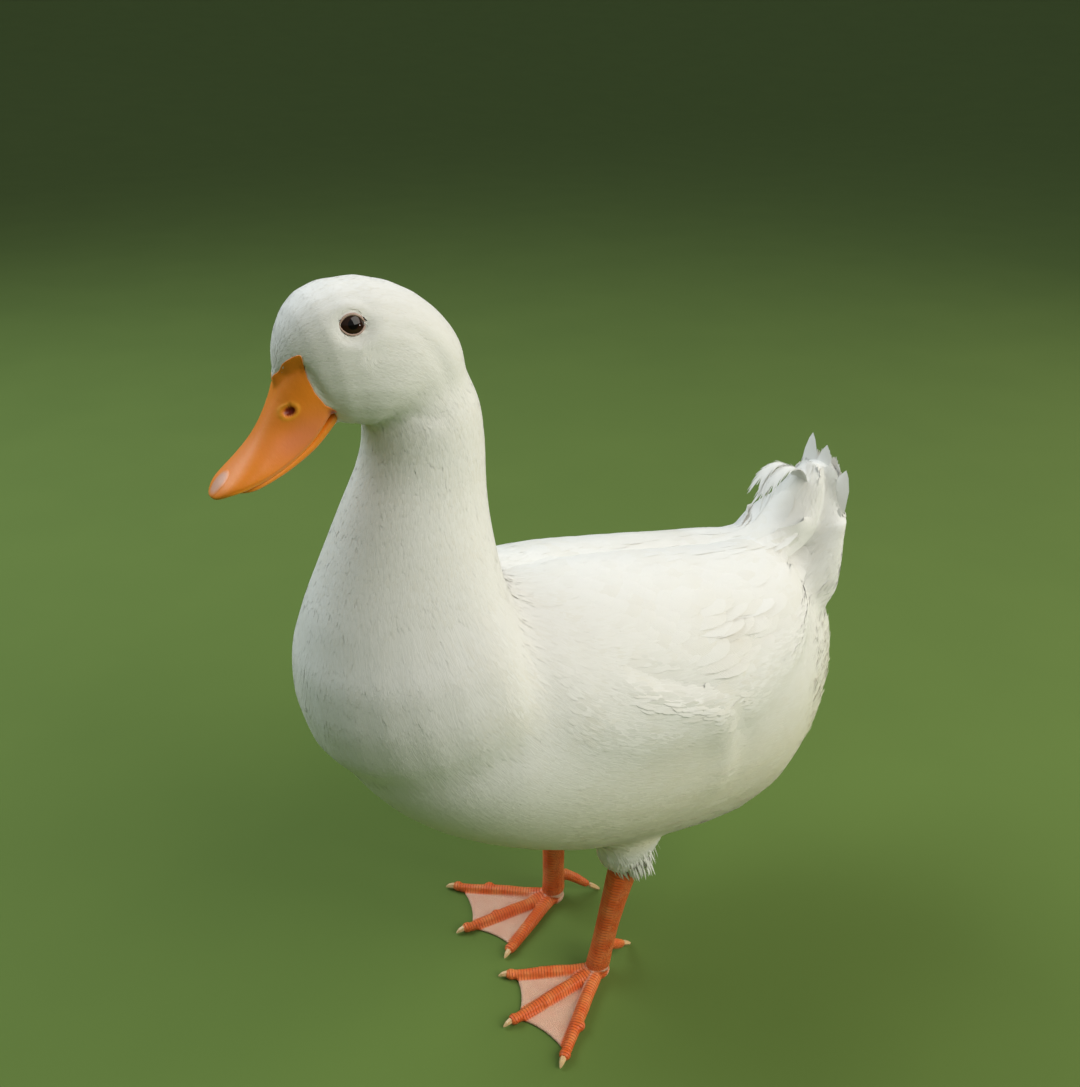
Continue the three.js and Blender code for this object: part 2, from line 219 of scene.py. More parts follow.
def loft(stations, upward, sides=20, rings=20, square=2.0, ends=(0.15, 0.15)):
    """A closed body along a spine of stations (x, y, z, half width, over, under), in metres.

    upward turns its sections, square 2 makes them round and more makes them squarer, and ends
    are the shares of its length over which it rounds off.
    """
    spine, sizes = np.split(np.asarray(stations, float), [3], axis=1)
    upward = np.asarray(upward, float)

    def place(share, angle):
        t = (1 - np.cos(share * math.pi)) / 2
        middle = spline(spine, t)
        before, after = (spline(spine, np.clip(t + step, 0, 1)) for step in (-0.01, 0.01))
        ahead = unit(after - before)
        over = unit(upward - ahead * (ahead @ upward)[:, None])
        side = np.cross(ahead, over)
        wide, up, down = spline(sizes, t).T
        cap = round_end(t, ends[0]) * round_end(1 - t, ends[1])
        turns = np.cos(angle), np.sin(angle)
        cosine, sine = (np.sign(f) * np.abs(f) ** (2 / square) for f in turns)
        reach = np.where(sine > 0, up, down)
        return middle + side * (wide * cap * cosine)[:, None] + over * (reach * cap * sine)[:, None]

    return shaped_ball(sides, rings, place)


WELD = 0.01 * MM


def merged_copy(bm, node, grow, keep=None):
    """Adds a node's shape to bm: welded, cut at keep = (point, outwards), and grown."""
    part = bmesh.new()
    part.from_mesh(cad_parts[node].data)
    bmesh.ops.remove_doubles(part, verts=part.verts[:], dist=WELD)
    if keep:
        point, outwards = keep
        cut = bmesh.ops.bisect_plane(
            part, geom=part.verts[:] + part.edges[:] + part.faces[:], plane_co=point,
            plane_no=outwards, clear_outer=True)
        edges = [e for e in cut["geom_cut"] if isinstance(e, bmesh.types.BMEdge)]
        bmesh.ops.holes_fill(part, edges=edges, sides=0)
    bmesh.ops.recalc_face_normals(part, faces=part.faces[:])
    part.normal_update()
    for vertex in part.verts:
        vertex.co += vertex.normal * grow
    passing = bpy.data.meshes.new("passing")
    part.to_mesh(passing)
    part.free()
    bm.from_mesh(passing)
    bpy.data.meshes.remove(passing)


def applied(thing, *modifiers):
    """The thing's mesh with modifiers applied, each (type, {setting: value}). The thing goes."""
    for kind, settings in modifiers:
        modifier = thing.modifiers.new(kind, kind)
        for key, value in settings.items():
            setattr(modifier, key, value)
    bpy.context.view_layer.update()
    ready = thing.evaluated_get(bpy.context.evaluated_depsgraph_get())
    result = bpy.data.meshes.new_from_object(ready)
    bpy.data.objects.remove(thing)
    return result


def remeshed(name, bm, voxel, smoothing):
    """The outer skin of overlapping closed shapes as one even, smoothed mesh."""
    source = bpy.data.meshes.new(name)
    bm.to_mesh(source)
    bm.free()
    return applied(
        add_object(name, source),
        ("REMESH", {"mode": "VOXEL", "voxel_size": voxel, "adaptivity": 0.0}),
        ("SMOOTH", {"factor": 0.5, "iterations": smoothing}))


# ---- shader maths -----------------------------------------------------------------------------


def maths(operation, swapped=False):
    """A method that adds a Math node with its own value first, or last when swapped."""

    def method(self, *others):
        terms = (*others, self) if swapped else (self, *others)
        inputs = dict(enumerate(terms))
        return self.shader.node("ShaderNodeMath", {"operation": operation}, inputs)

    return method


class Value:
    """A number or colour that a node gives, with arithmetic that adds Math nodes."""

    def __init__(self, shader, socket):
        self.shader, self.socket = shader, socket

    __add__ = __radd__ = maths("ADD")
    __sub__ = maths("SUBTRACT")
    __rsub__ = maths("SUBTRACT", swapped=True)
    __mul__ = __rmul__ = maths("MULTIPLY")
    fraction = maths("FRACT")
    size = maths("ABSOLUTE")

    def clamped(self):
        return self.shader.node("ShaderNodeClamp", {}, {"Value": self})


class Shader:
    """A node material around one Principled surface."""

    def __init__(self, name, **constants):
        self.material = bpy.data.materials.new(name)
        self.material.use_nodes = True
        self.tree = self.material.node_tree
        self.surface = self.tree.nodes["Principled BSDF"]
        self.feed(**constants)

    def node(self, kind, settings, inputs, output=0):
        """Adds a node: its settings first, then values or links for its sockets."""
        made = self.tree.nodes.new(kind)
        for key, value in settings.items():
            setattr(made, key, value)
        for key, value in inputs.items():
            self.join(made.inputs[key], value)
        return Value(self, made.outputs[output])

    def join(self, socket, value):
        """Links a value to a socket, or sets the socket to a constant."""
        if isinstance(value, Value):
            self.tree.links.new(value.socket, socket)
        elif socket.type == "RGBA" and len(value) == 3:
            socket.default_value = (*value, 1)
        else:
            socket.default_value = value

    def feed(self, **inputs):
        """Joins values or constants to the surface's sockets of these names."""
        for key, value in inputs.items():
            self.join(self.surface.inputs[key.replace("_", " ")], value)

    def place(self):
        return self.node("ShaderNodeTexCoord", {}, {}, "Object")

    def height(self):
        return self.node("ShaderNodeSeparateXYZ", {}, {"Vector": self.place()}, "Z")

    def attribute(self, name):
        return self.node("ShaderNodeAttribute", {"attribute_name": name}, {}, "Fac")

    def noise(self, scale, detail, stretch=None):
        """Clouds over the object's own places, finer along the axes that stretch makes larger."""
        source = self.place()
        if stretch:
            source = self.node("ShaderNodeMapping", {}, {"Vector": source, "Scale": stretch})
        return self.node("ShaderNodeTexNoise", {}, {
            "Vector": source, "Scale": scale, "Detail": detail, "Roughness": 0.5})

    def stripes(self, where, scale):
        """Uneven stripes across a value."""
        return self.node("ShaderNodeTexNoise", {"noise_dimensions": "1D"}, {
            "W": where, "Scale": scale, "Detail": 1.0})

    def cells(self, scale):
        """Small round cells: 0 on the seams between them."""
        return self.node("ShaderNodeTexVoronoi", {"feature": "DISTANCE_TO_EDGE"}, {
            "Vector": self.place(), "Scale": scale}, "Distance")

    def ease(self, value, low, high):
        return self.node("ShaderNodeMapRange", {"interpolation_type": "SMOOTHSTEP"}, {
            "Value": value, "From Min": low, "From Max": high})

    def mix(self, amount, first, second):
        """A colour between two colours: the factor is socket 0, the colours are 6 and 7."""
        inputs = {0: amount, 6: first, 7: second}
        return self.node("ShaderNodeMix", {"data_type": "RGBA"}, inputs, 2)

    def bump(self, height, distance):
        """Relief of the surface, distance in metres."""
        self.feed(Normal=self.node("ShaderNodeBump", {}, {
            "Height": height, "Distance": distance, "Strength": 1.0}))


# ---- finishes -----------------------------------------------------------------------------------

WHITE = (0.86, 0.85, 0.82)
CREAM = (0.80, 0.76, 0.66)
SHADE_GREY = (0.74, 0.74, 0.73)
# cream of the lower body: partly a real stain, partly painted yellow bounce light and shade from
# the floor
BELLY_STAIN_AND_BOUNCE = (0.80, 0.745, 0.54)


def plumage_finish(name, barb_depth):
    """White feathers: cream in places, each feather a little different, with fine barbs, and the
    lower body painted cream, partly a real stain and partly painted yellow bounce light and shade
    from the floor.
    """
    shader = Shader(
        name, Roughness=0.62, Sheen_Weight=0.12, Sheen_Roughness=0.5, Specular_IOR_Level=0.3)
    patches = shader.ease(shader.noise(14.0, 3.0), 0.45, 0.75)
    tint = shader.attribute("tint")
    fine = shader.noise(160.0, 2.0, stretch=(1, 0.35, 1))
    colour = shader.mix(patches * 0.35 + tint * 0.25, WHITE, CREAM)
    colour = shader.mix((fine * 0.12 + tint * 0.05).clamped(), colour, SHADE_GREY)
    height = shader.height()
    # the lower body, about 96 to 220 mm up, painted cream: partly a real stain, partly painted
    # yellow bounce light and shade from the floor
    low = shader.ease(height, 0.22, 0.12) * shader.ease(height, 0.096, 0.112)
    colour = shader.mix(low * (0.55 + fine * 0.5), colour, BELLY_STAIN_AND_BOUNCE)
    shader.feed(Base_Color=colour)
    shader.bump(shader.stripes(shader.attribute("barb"), 1.9), barb_depth)
    return shader.material


ORANGE = (0.93, 0.27, 0.014)
DEEP_ORANGE = (0.86, 0.235, 0.012)
SALMON = (0.90, 0.26, 0.09)
# yellow of the lip, also used for a painted highlight round the nostrils
LIP_YELLOW_AND_HIGHLIGHT = (0.95, 0.40, 0.03)
# dark red painted shade for the nostrils and the corner of the mouth
HOLLOW_SHADE_RED = (0.24, 0.014, 0.006)


def bill_finish():
    """Orange horn: salmon on its sides, deeper on the ridge, yellow along the lip, with a painted
    highlight round the nostrils and dark red painted shade in them and at the corner of the mouth.
    """
    shader = Shader(
        "bill_horn", Subsurface_Weight=0.08, Subsurface_Radius=(0.004, 0.0015, 0.0006),
        Coat_Weight=0.08, Coat_Roughness=0.25)
    cloud = shader.noise(120.0, 4.0)
    ridge = (shader.attribute("ridge") + cloud * 0.5 - 0.25).clamped()
    colour = shader.mix(ridge, ORANGE, DEEP_ORANGE)
    sides = (shader.attribute("salmon") * (cloud * 0.8 + 0.6)).clamped()
    colour = shader.mix(sides, colour, SALMON)
    # yellow along the lip, and a painted highlight round the nostrils that rides in the lip values
    colour = shader.mix((shader.attribute("lip") * 0.85).clamped(), colour, LIP_YELLOW_AND_HIGHLIGHT)
    # dark red painted shade in the nostrils and at the corner of the mouth
    colour = shader.mix(shader.attribute("painted_hollow_shade"), colour, HOLLOW_SHADE_RED)
    shader.feed(Base_Color=colour, Roughness=0.38 + cloud * 0.16)
    shader.bump(shader.noise(700.0, 3.0) * 0.6 + shader.noise(2600.0, 2.0) * 0.3, 0.00012)
    return shader.material


def nail_finish():
    """Pale pinkish horn with faint lengthwise streaks."""
    shader = Shader(
        "bill_nail_horn", Roughness=0.32, Subsurface_Weight=0.1,
        Subsurface_Radius=(0.003, 0.0015, 0.001))
    streaks = shader.noise(900.0, 3.0, stretch=(1, 0.2, 0.2))
    colour = shader.mix(streaks, (0.66, 0.33, 0.22), (0.80, 0.47, 0.34))
    colour = shader.mix(shader.attribute("edge"), colour, ORANGE)
    shader.feed(Base_Color=colour)
    shader.bump(streaks, 0.00008)
    return shader.material


def eye_finish():
    """Near-black brown iris round a black pupil under a wet clear surface."""
    shader = Shader("eye_dark", Roughness=0.04, IOR=1.4)
    grain = shader.noise(1500.0, 2.0)
    iris = shader.mix(grain, (0.016, 0.006, 0.004), (0.036, 0.014, 0.008))
    outside_pupil = shader.ease(shader.attribute("iris"), 0.42, 0.52)
    shader.feed(Base_Color=shader.mix(outside_pupil, (0.004, 0.003, 0.003), iris))
    return shader.material


def lid_finish():
    """Pinkish bare skin with fine grain."""
    shader = Shader("eyelid_skin", Roughness=0.5, Subsurface_Weight=0.15)
    colour = shader.mix(shader.noise(900.0, 2.0), (0.46, 0.25, 0.20), (0.66, 0.45, 0.36))
    shader.feed(Base_Color=colour)
    shader.bump(shader.noise(1600.0, 2.0), 0.0001)
    return shader.material


LEG_ORANGE = (0.80, 0.13, 0.018)
LEG_LIGHT = (0.86, 0.24, 0.06)
LEG_DARK = (0.42, 0.05, 0.012)
WEB_PEACH = (0.95, 0.60, 0.44)


def leg_finish():
    """Scaly orange skin: cross scutes in front, small round scales elsewhere, peach webs."""
    shader = Shader(
        "leg_skin", Subsurface_Weight=0.06, Subsurface_Radius=(0.004, 0.0012, 0.0005))
    front, web = shader.attribute("front"), shader.attribute("web")
    step = (shader.attribute("scute") + shader.noise(300.0, 1.0) * 0.25).fraction()
    groove = 1 - shader.ease((step - 0.5).size(), 0.5, 0.36)
    seam = 1 - shader.ease(shader.cells(720.0), 0.02, 0.14)
    wrinkles = shader.ease(shader.cells(1100.0), 0.0, 0.2)
    lines = (groove * front + seam * (1 - front) * 0.8) * (1 - web)
    patches = shader.noise(110.0, 3.0)
    colour = shader.mix(shader.ease(patches, 0.35, 0.7), LEG_ORANGE, LEG_LIGHT)
    colour = shader.mix(web * (patches * 0.4 + 0.7), colour, WEB_PEACH)
    colour = shader.mix((lines * (patches * 0.5 + 0.25)).clamped(), colour, LEG_DARK)
    shader.feed(Base_Color=colour, Roughness=0.42 + patches * 0.2)
    shader.bump((1 - lines) * 0.8 + wrinkles * web * 0.5, 0.0006)
    return shader.material


def claw_finish():
    """Amber horn with faint streaks."""
    shader = Shader("claw_horn", Roughness=0.38, Subsurface_Weight=0.1)
    streaks = shader.noise(1300.0, 2.0)
    shader.feed(Base_Color=shader.mix(streaks, (0.74, 0.40, 0.17), (0.85, 0.58, 0.32)))
    shader.bump(streaks, 0.00008)
    return shader.material


# ---- form of the body ---------------------------------------------------------------------------

BODY_VOXEL = 1.25 * MM

# Where the base of the bill ends and feathers begin: angle round the bill from its side up to
# its ridge in degrees, and millimetres ahead of the gape.
BILL_EDGE = [
    (-90, 6), (-60, 2.5), (-44, -0.7), (-20, -1.0), (3, 1.3), (28, 1.6), (46, 0.2), (53, -1.3),
    (58, -3.6), (62, -1.9), (70, 1.7), (80, 5.9), (90, 10.2)]
# Millimetres along the bill, then height of its ridge, of its lip, and half width.
BILL_SHAPE = [
    (-6, 27.2, -1.6, 15.6), (0, 25.4, -2.6, 15.4), (8, 20.8, -6.4, 14.0),
    (16, 15.3, -9.0, 12.6), (24, 10.9, -9.9, 12.0), (32, 7.4, -9.2, 12.5),
    (40, 5.0, -7.6, 13.2), (48, 3.2, -5.3, 13.0), (55, 1.9, -3.4, 11.6), (61.5, 0.2, -3.0, 8.6)]
BILL_LENGTH = 61.0


def bill_sections(along):
    """Height of the section's middle, half width, and reach up and down, in millimetres."""
    ridge, lip, wide = profile(BILL_SHAPE, along).T
    middle = lip + np.interp(along, [-6, 6, 16, 30, 61], [7.6, 6.6, 5.4, 4.0, 1.9])
    return middle, wide, ridge - middle, middle - lip


def section_radius(along, wide, reach, cosine, sine):
    """A squarish oval at the base of the bill, rounder towards its tip."""
    power = np.interp(along, [-6, 8, 30, 61], [3.2, 2.7, 2.3, 2.2])
    return ((np.abs(cosine) / wide) ** power + (np.abs(sine) / reach) ** power) ** (-1 / power)


def bill_edge(angle):
    """Where feathers end, for an angle round the bill in radians, either side."""
    turned = np.degrees(np.arctan2(np.sin(angle), np.abs(np.cos(angle))))
    rows = np.array(BILL_EDGE, float)
    return np.interp(turned, rows[:, 0], rows[:, 1])


def ahead_of_edge(places):
    """Millimetres by which each place lies on the bill's side of the feather edge."""
    along, across, over = in_bill(places)
    middle = bill_sections(along)[0]
    return along - bill_edge(np.arctan2(over - middle, np.abs(across)))


# Lines on the left side that the body's relief follows, in millimetres: x, y, z.
CHEEK_GROOVE = [
    (25, -111, 417), (26, -102, 412), (26, -95, 404), (24.5, -90, 394), (23, -87, 384)]
WING_LOWER_EDGE = [
    (57, -36, 260), (66, -27, 249), (72, -14, 238), (76, 3, 229), (79, 22, 221), (80, 46, 214)]
WING_REAR_EDGE = [
    (80, 48, 214), (74, 56, 220), (69, 64, 228), (61, 86, 233), (51, 110, 235), (35, 136, 237)]
FLANK_REAR_EDGE = [
    (80, 46, 214), (83, 44, 200), (80, 50, 182), (79, 51, 166), (76, 45, 148), (70, 28, 137)]
SCAPULAR_STEP = [(15, 24, 268), (18, 50, 265), (18, 80, 260), (14, 110, 255)]
JOWL_LINE = [
    (8, -124, 373), (15, -115, 376), (20, -107, 378), (24, -100, 377), (26, -93, 376)]


def overlap(signed, high, deep, width):
    """A soft layer edge: a crest on its own side (signed > 0) and a furrow beside it."""
    return high * bell(signed - width, width) - deep * bell(signed + 0.5 * width, 0.65 * width)


def line_height(line, y):
    """Height of a line on the side of the body, by y."""
    return profile(np.array(line)[:, 1:], y)[:, 0]


def relief(places):
    """The folds and swellings of the live bird: how far each place moves along its normal."""
    mirrored = np.abs(places[:, 0])
    flat = np.column_stack([mirrored, places[:, 1], places[:, 2]]) / MM

    d, share = distance_to_line(flat, CHEEK_GROOVE)
    move = -0.7 * bell(d, 4.2) * np.sin(np.clip(share, 0, 1) * math.pi * 0.9 + 0.15)
    cheek = np.linalg.norm((flat - (24, -112, 392)) / (14, 17, 14), axis=1)
    move += 1.2 * bell(cheek, 0.8)

    d, share = distance_to_line(flat, WING_LOWER_EDGE)
    below = flat[:, 2] < line_height(WING_LOWER_EDGE, flat[:, 1])
    edge = overlap(np.where(below, d, -d), 1.5, 0.9, 7.5)
    move += edge * ease(share, 0.1, 0.6) * ease(share, 1.05, 0.8)

    d, share = distance_to_line(flat, WING_REAR_EDGE)
    above = flat[:, 2] > line_height(WING_REAR_EDGE, flat[:, 1])
    edge = overlap(np.where(above, d, -d), 0.5, 0.5, 6)
    move += edge * ease(share, -0.05, 0.25) * (1 - 0.4 * ease(share, 0.6, 1))

    d, share = distance_to_line(flat, FLANK_REAR_EDGE)
    _, y, z = np.array(FLANK_REAR_EDGE[::-1], float).T
    ahead = flat[:, 1] < np.interp(flat[:, 2], z, y)
    edge = overlap(np.where(ahead, d, -d), 1.6, 1.0, 9)
    move += edge * ease(share, 0.0, 0.2) * (1 - ease(share, 0.65, 1.0))

    d, share = distance_to_line(flat, SCAPULAR_STEP)
    move += 0.7 * bell(d, 12) * ease(flat[:, 1], 18, 27) * (flat[:, 2] > 220)

    d, share = distance_to_line(flat, JOWL_LINE)
    move -= 0.7 * bell(d, 3.5)
    return move * MM


WEIGHT_LEVELS = 20


def diffused(mesh, values, weight, rounds):
    """A field over the mesh's points evened out with its neighbours, where weight is above 0."""
    copy = mesh.copy()
    set_places(copy, values)
    thing = add_object("passing", copy)
    group = thing.vertex_groups.new(name="soft")
    levels = np.round(weight * WEIGHT_LEVELS).astype(int)
    for level in range(1, WEIGHT_LEVELS + 1):
        group.add(np.flatnonzero(levels == level).tolist(), level / WEIGHT_LEVELS, "REPLACE")
    smoothing = {"factor": 0.5, "iterations": rounds, "vertex_group": "soft"}
    result = applied(thing, ("SMOOTH", smoothing))
    out = mesh_array(result, "co")
    bpy.data.meshes.remove(result)
    return out


def soften(mesh, weight, rounds):
    """Takes facets and creases out of a mesh, and gives back the bulk that this loses."""
    places = mesh_array(mesh, "co")
    even = diffused(mesh, places, weight, rounds)
    set_places(mesh, even + diffused(mesh, places - even, weight, rounds))


def jaw_height(places):
    """Millimetres above the plane where head and neck meet."""
    return (places[:, 1] / MM + 96) * -0.36 + (places[:, 2] / MM - 380) * 0.93


def eye_frame(name):
    """The point of the face over the eye, and the direction it looks."""
    hand = SIDES[name]
    look = unit(np.array([hand, -0.19, 0.27]))
    reach = EYE[name] + look * 5.3 * MM - np.array([0, 0, 0.9 * MM])
    return reach, look


EYE_BALL = 8.0 * MM  # the eyeball is larger than what the lids leave bare
EYE_WIDE = 4.5 * MM  # half the bare part's width and height
EYE_HIGH = 3.85 * MM
EYE_SUNK = 0.15 * MM
EYE_DISH = 11.0 * MM  # round the lids the face dips towards the eye this far out


def from_eye(places, name):
    """How far places lie out from the eye and along its sight, and their share of the opening."""
    face, look = eye_frame(name)
    d = places - face
    along = d @ look
    flat = d - along[:, None] * look
    rearward = unit(np.cross(look, [0, 0, 1]) * SIDES[name])
    upward = np.cross(rearward, look) * SIDES[name]
    share = np.hypot(flat @ rearward / EYE_WIDE, flat @ upward / EYE_HIGH)
    return np.linalg.norm(flat, axis=1), along, share


def ball_depth(out):
    """How deep the eyeball's surface lies at a distance from the line of sight."""
    return EYE_SUNK + EYE_BALL - np.sqrt(np.maximum(EYE_BALL**2 - np.asarray(out) ** 2, 0))


def bill_core(share, angle):
    """The root of the bill that the face closes round."""
    along = -9 + 36 * share
    middle, wide, up, down = bill_sections(np.maximum(along, -6))
    cap = np.where((share < 0.001) | (share > 0.999), 0, 1)
    cosine, sine = np.cos(angle), np.sin(angle)
    radius = section_radius(along, wide, np.where(sine > 0, up, down), cosine, sine) * cap
    return from_bill(along, radius * cosine, middle + radius * sine)


FLESH_GROWTH = 0.45 * MM  # the flesh stands this far inside the plumage's outline
SOFT_ROUNDS = 190
LEDGE_ROUNDS = 420  # the ledge under the folded wing takes more to even out
# Fills the root of the tail: x, y, z, half width, over, under, in millimetres.
TAIL_FAIRING = [
    (0, 116, 247, 18, 5, 8), (0, 138, 252, 22, 7, 12), (0, 152, 262, 23, 8, 12),
    (0, 164, 277, 20, 7, 8), (0, 173, 291, 13, 3, 3)]


def body_shapes():
    """The flesh of the frame, with the roots of tail and bill, as overlapping closed shapes."""
    bm = bmesh.new()
    for node in FLESH:
        merged_copy(bm, node, FLESH_GROWTH)
    merged_copy(bm, "tail", FLESH_GROWTH, keep=((0, 0, TAIL_SKIN_TOP), (0, 0, 1)))
    fairing = loft(np.array(TAIL_FAIRING) * MM, (0, -1, 0.4), sides=40, rings=30)
    bm.from_mesh(mesh_from(fairing, "fairing"))
    end = tuple(from_bill(np.array(14.0), 0.0, np.array(0.0)))
    merged_copy(bm, "bill_lower", 0.3 * MM, keep=(end, tuple(BILL_FORWARD)))
    bm.from_mesh(mesh_from(shaped_ball(48, 30, bill_core), "core"))
    return bm


def even_out(form):
    """Takes the frame's facets, seams and ledges out of the form."""
    places = mesh_array(form, "co")
    x, y, z = (places / MM).T
    jaw = jaw_height(places)
    tail_top = ease(y, 128, 146) * ease(z, 276, 288)
    thigh = ease(z, 122, 104) * (np.abs(x) > 8)
    soften(form, ease(jaw, -8, -26) * (1 - tail_top) * (1 - 0.9 * thigh), SOFT_ROUNDS)
    tail_root = ease(y, 112, 136) * ease(z, 178, 196) * ease(z, 264, 250)
    back = ease(y, -66, -46) * ease(y, 142, 124) * ease(z, 240, 252)
    out, length = ease(np.abs(x), 38, 50), ease(y, -80, -58)
    side = out * length * ease(z, 135, 165) * ease(z, 262, 245)
    nape = 0.7 * ease(jaw, -34, -16) * ease(jaw, 34, 16) * ease(y, -120, -104)
    weight = np.maximum.reduce([tail_root, back, side, nape])
    places = diffused(form, mesh_array(form, "co"), weight, SOFT_ROUNDS)
    set_places(form, places)
    out, length = ease(np.abs(x), 46, 58), ease(y, -84, -66)
    ledge = out * length * ease(y, 104, 84) * ease(z, 150, 176) * ease(z, 262, 240)
    return diffused(form, places, ledge, LEDGE_ROUNDS)


def dish_eyes(places):
    """Draws the face in towards each eye, and opens a hole over it."""
    for name in SIDES:
        out, along, share = from_eye(places, name)
        near = (np.abs(along) < 12 * MM) & (out < EYE_DISH * 1.2)
        look = eye_frame(name)[1]
        rim = -(ball_depth(np.minimum(out, EYE_WIDE * 1.1)) - 0.35 * MM)
        level = rim + (along - rim) * ease(out, 5.0 * MM, EYE_DISH)
        hole = -3.0 * MM * (1 - ease(share, 0.96, 1.12))
        places += look * np.where(near, level - along + hole, 0)[:, None]


def build_form():
    """The outline of the plumage as one mesh, with its folds, before the coat's depth comes off."""
    form = remeshed("form", body_shapes(), BODY_VOXEL, smoothing=9)
    places = even_out(form)
    high = ease(places[:, 2], 256 * MM, 288 * MM) * (places[:, 1] > 0.13)
    places[:, 0] *= 1 - 0.20 * high
    places[:, 2] -= 30 * high * places[:, 0] ** 2
    set_places(form, places)
    places, normals = mesh_array(form, "co"), mesh_array(form, "normal")
    places = places + normals * relief(places)[:, None]
    dish_eyes(places)
    set_places(form, places)
    return form


# ---- lie of the coat --------------------------------------------------------------------------

# The line the feathers flow along, as y and z in millimetres, and its branch into the tail.
FLOW = [
    (-166, 400), (-139, 403), (-119, 404), (-102, 397), (-94, 376), (-92, 350), (-95, 320),
    (-93, 290), (-85, 258), (-66, 230), (-38, 208), (0, 194), (50, 186), (100, 184), (150, 194)]
TAIL_FLOW = [(112, 214), (140, 218), (158, 234), (168, 258), (176, 284), (183, 312)]


def flow_samples():
    """Places along both lines, with their headings."""
    places, headings = [], []
    for line, count in ((FLOW, 64), (TAIL_FLOW, 16)):
        points = spline(np.column_stack([np.zeros(len(line)), line]) * MM, np.linspace(0, 1, count))
        places.append(points)
        headings.append(unit(np.gradient(points, axis=0)))
    return np.vstack(places), np.vstack(headings)


FLOW_PLACES, FLOW_HEADINGS = flow_samples()
FLOW_BLEND = 13 * MM
BATCH = 20_000


def flow_distances(places):
    """Distances of the places from the flow line's samples, one batch of places at a time."""
    for start in range(0, len(places), BATCH):
        part = slice(start, start + BATCH)
        yield part, np.linalg.norm(places[part, None, :] - FLOW_PLACES[None], axis=2)


def along_surface(heading, normals):
    """The headings, turned into the surface with these normals."""
    return unit(heading - normals * (heading * normals).sum(axis=1)[:, None])


def lie(places, normals):
    """The direction in which the feathers at each place lie, along the surface."""
    heading = np.empty_like(places)
    for part, d in flow_distances(places):
        weight = np.exp(-(((d - d.min(axis=1, keepdims=True)) / FLOW_BLEND) ** 2))
        heading[part] = weight @ FLOW_HEADINGS
    heading = unit(heading)
    x, y, z = (places / MM).T
    wing = ease(wing_height(places), -4, 6) * ease(y, -50, -20)
    climb = 0.32 * ease(y, 40, 75) * ease(z, 255, 225) - 0.12 * ease(y, 40, 0)
    along_wing = unit(np.column_stack([np.zeros(len(x)), np.ones(len(x)), climb]))
    upright = ease(z, 246, 262) * ease(y, 130, 150)
    wing = wing * (1 - upright)
    heading = unit(heading * (1 - wing)[:, None] + along_wing * wing[:, None])
    leg = ease(z, 112, 92) * ease(np.abs(x), 14, 22)
    heading = unit(heading * (1 - leg)[:, None] + np.array([0, 0.25, -1.0]) * leg[:, None])
    for name in SIDES:
        out, _, _ = from_eye(places, name)
        face, look = eye_frame(name)
        radial = places - face
        radial = unit(radial - (radial @ look)[:, None] * look)
        inward = np.maximum(0, -(heading * radial).sum(axis=1))
        parting = inward * 1.15 * (1 - ease(out, 7 * MM, 12 * MM))
        heading = heading + radial * parting[:, None]
    return along_surface(heading, normals)


# The lower edge of the folded wing, as y and z in millimetres.
WING_EDGE = [
    (-62, 296), (-50, 280), (-36, 262), (-27, 250), (-14, 239), (3, 230), (22, 222), (46, 215),
    (55, 219), (62, 227), (71, 230), (92, 234), (112, 236), (134, 237), (156, 241)]


def wing_height(places):
    """Millimetres by which each place lies above the folded wing's lower edge."""
    edge = np.array(WING_EDGE, float)
    return places[:, 2] / MM - np.interp(places[:, 1] / MM, edge[:, 0], edge[:, 1])


def unwrap(places):
    """A place on the flattened body: angle round the flow line across, distance along it up."""
    share = np.empty(len(places))
    angle = np.empty(len(places))
    for part, d in flow_distances(places):
        nearest = d.argmin(axis=1)
        share[part] = (nearest + 0.5) / len(FLOW_PLACES)
        away = places[part] - FLOW_PLACES[nearest]
        over = np.cross(np.array([1.0, 0, 0]), FLOW_HEADINGS[nearest])
        shift = (away * FLOW_HEADINGS[nearest]).sum(axis=1)
        share[part] += np.clip(shift / (7 * MM), -0.5, 0.5) / len(FLOW_PLACES)
        angle[part] = np.arctan2(away[:, 0], (away * over).sum(axis=1))
    return np.column_stack([0.5 + angle / (2 * math.pi) * 0.97, 0.01 + 0.98 * share])


CELL_PRIMES = np.array([73856093, 19349663, 83492791])  # tell grid cells apart by one number
THROWS = 3.0  # seeds thrown for each that is wanted, before crowded ones go


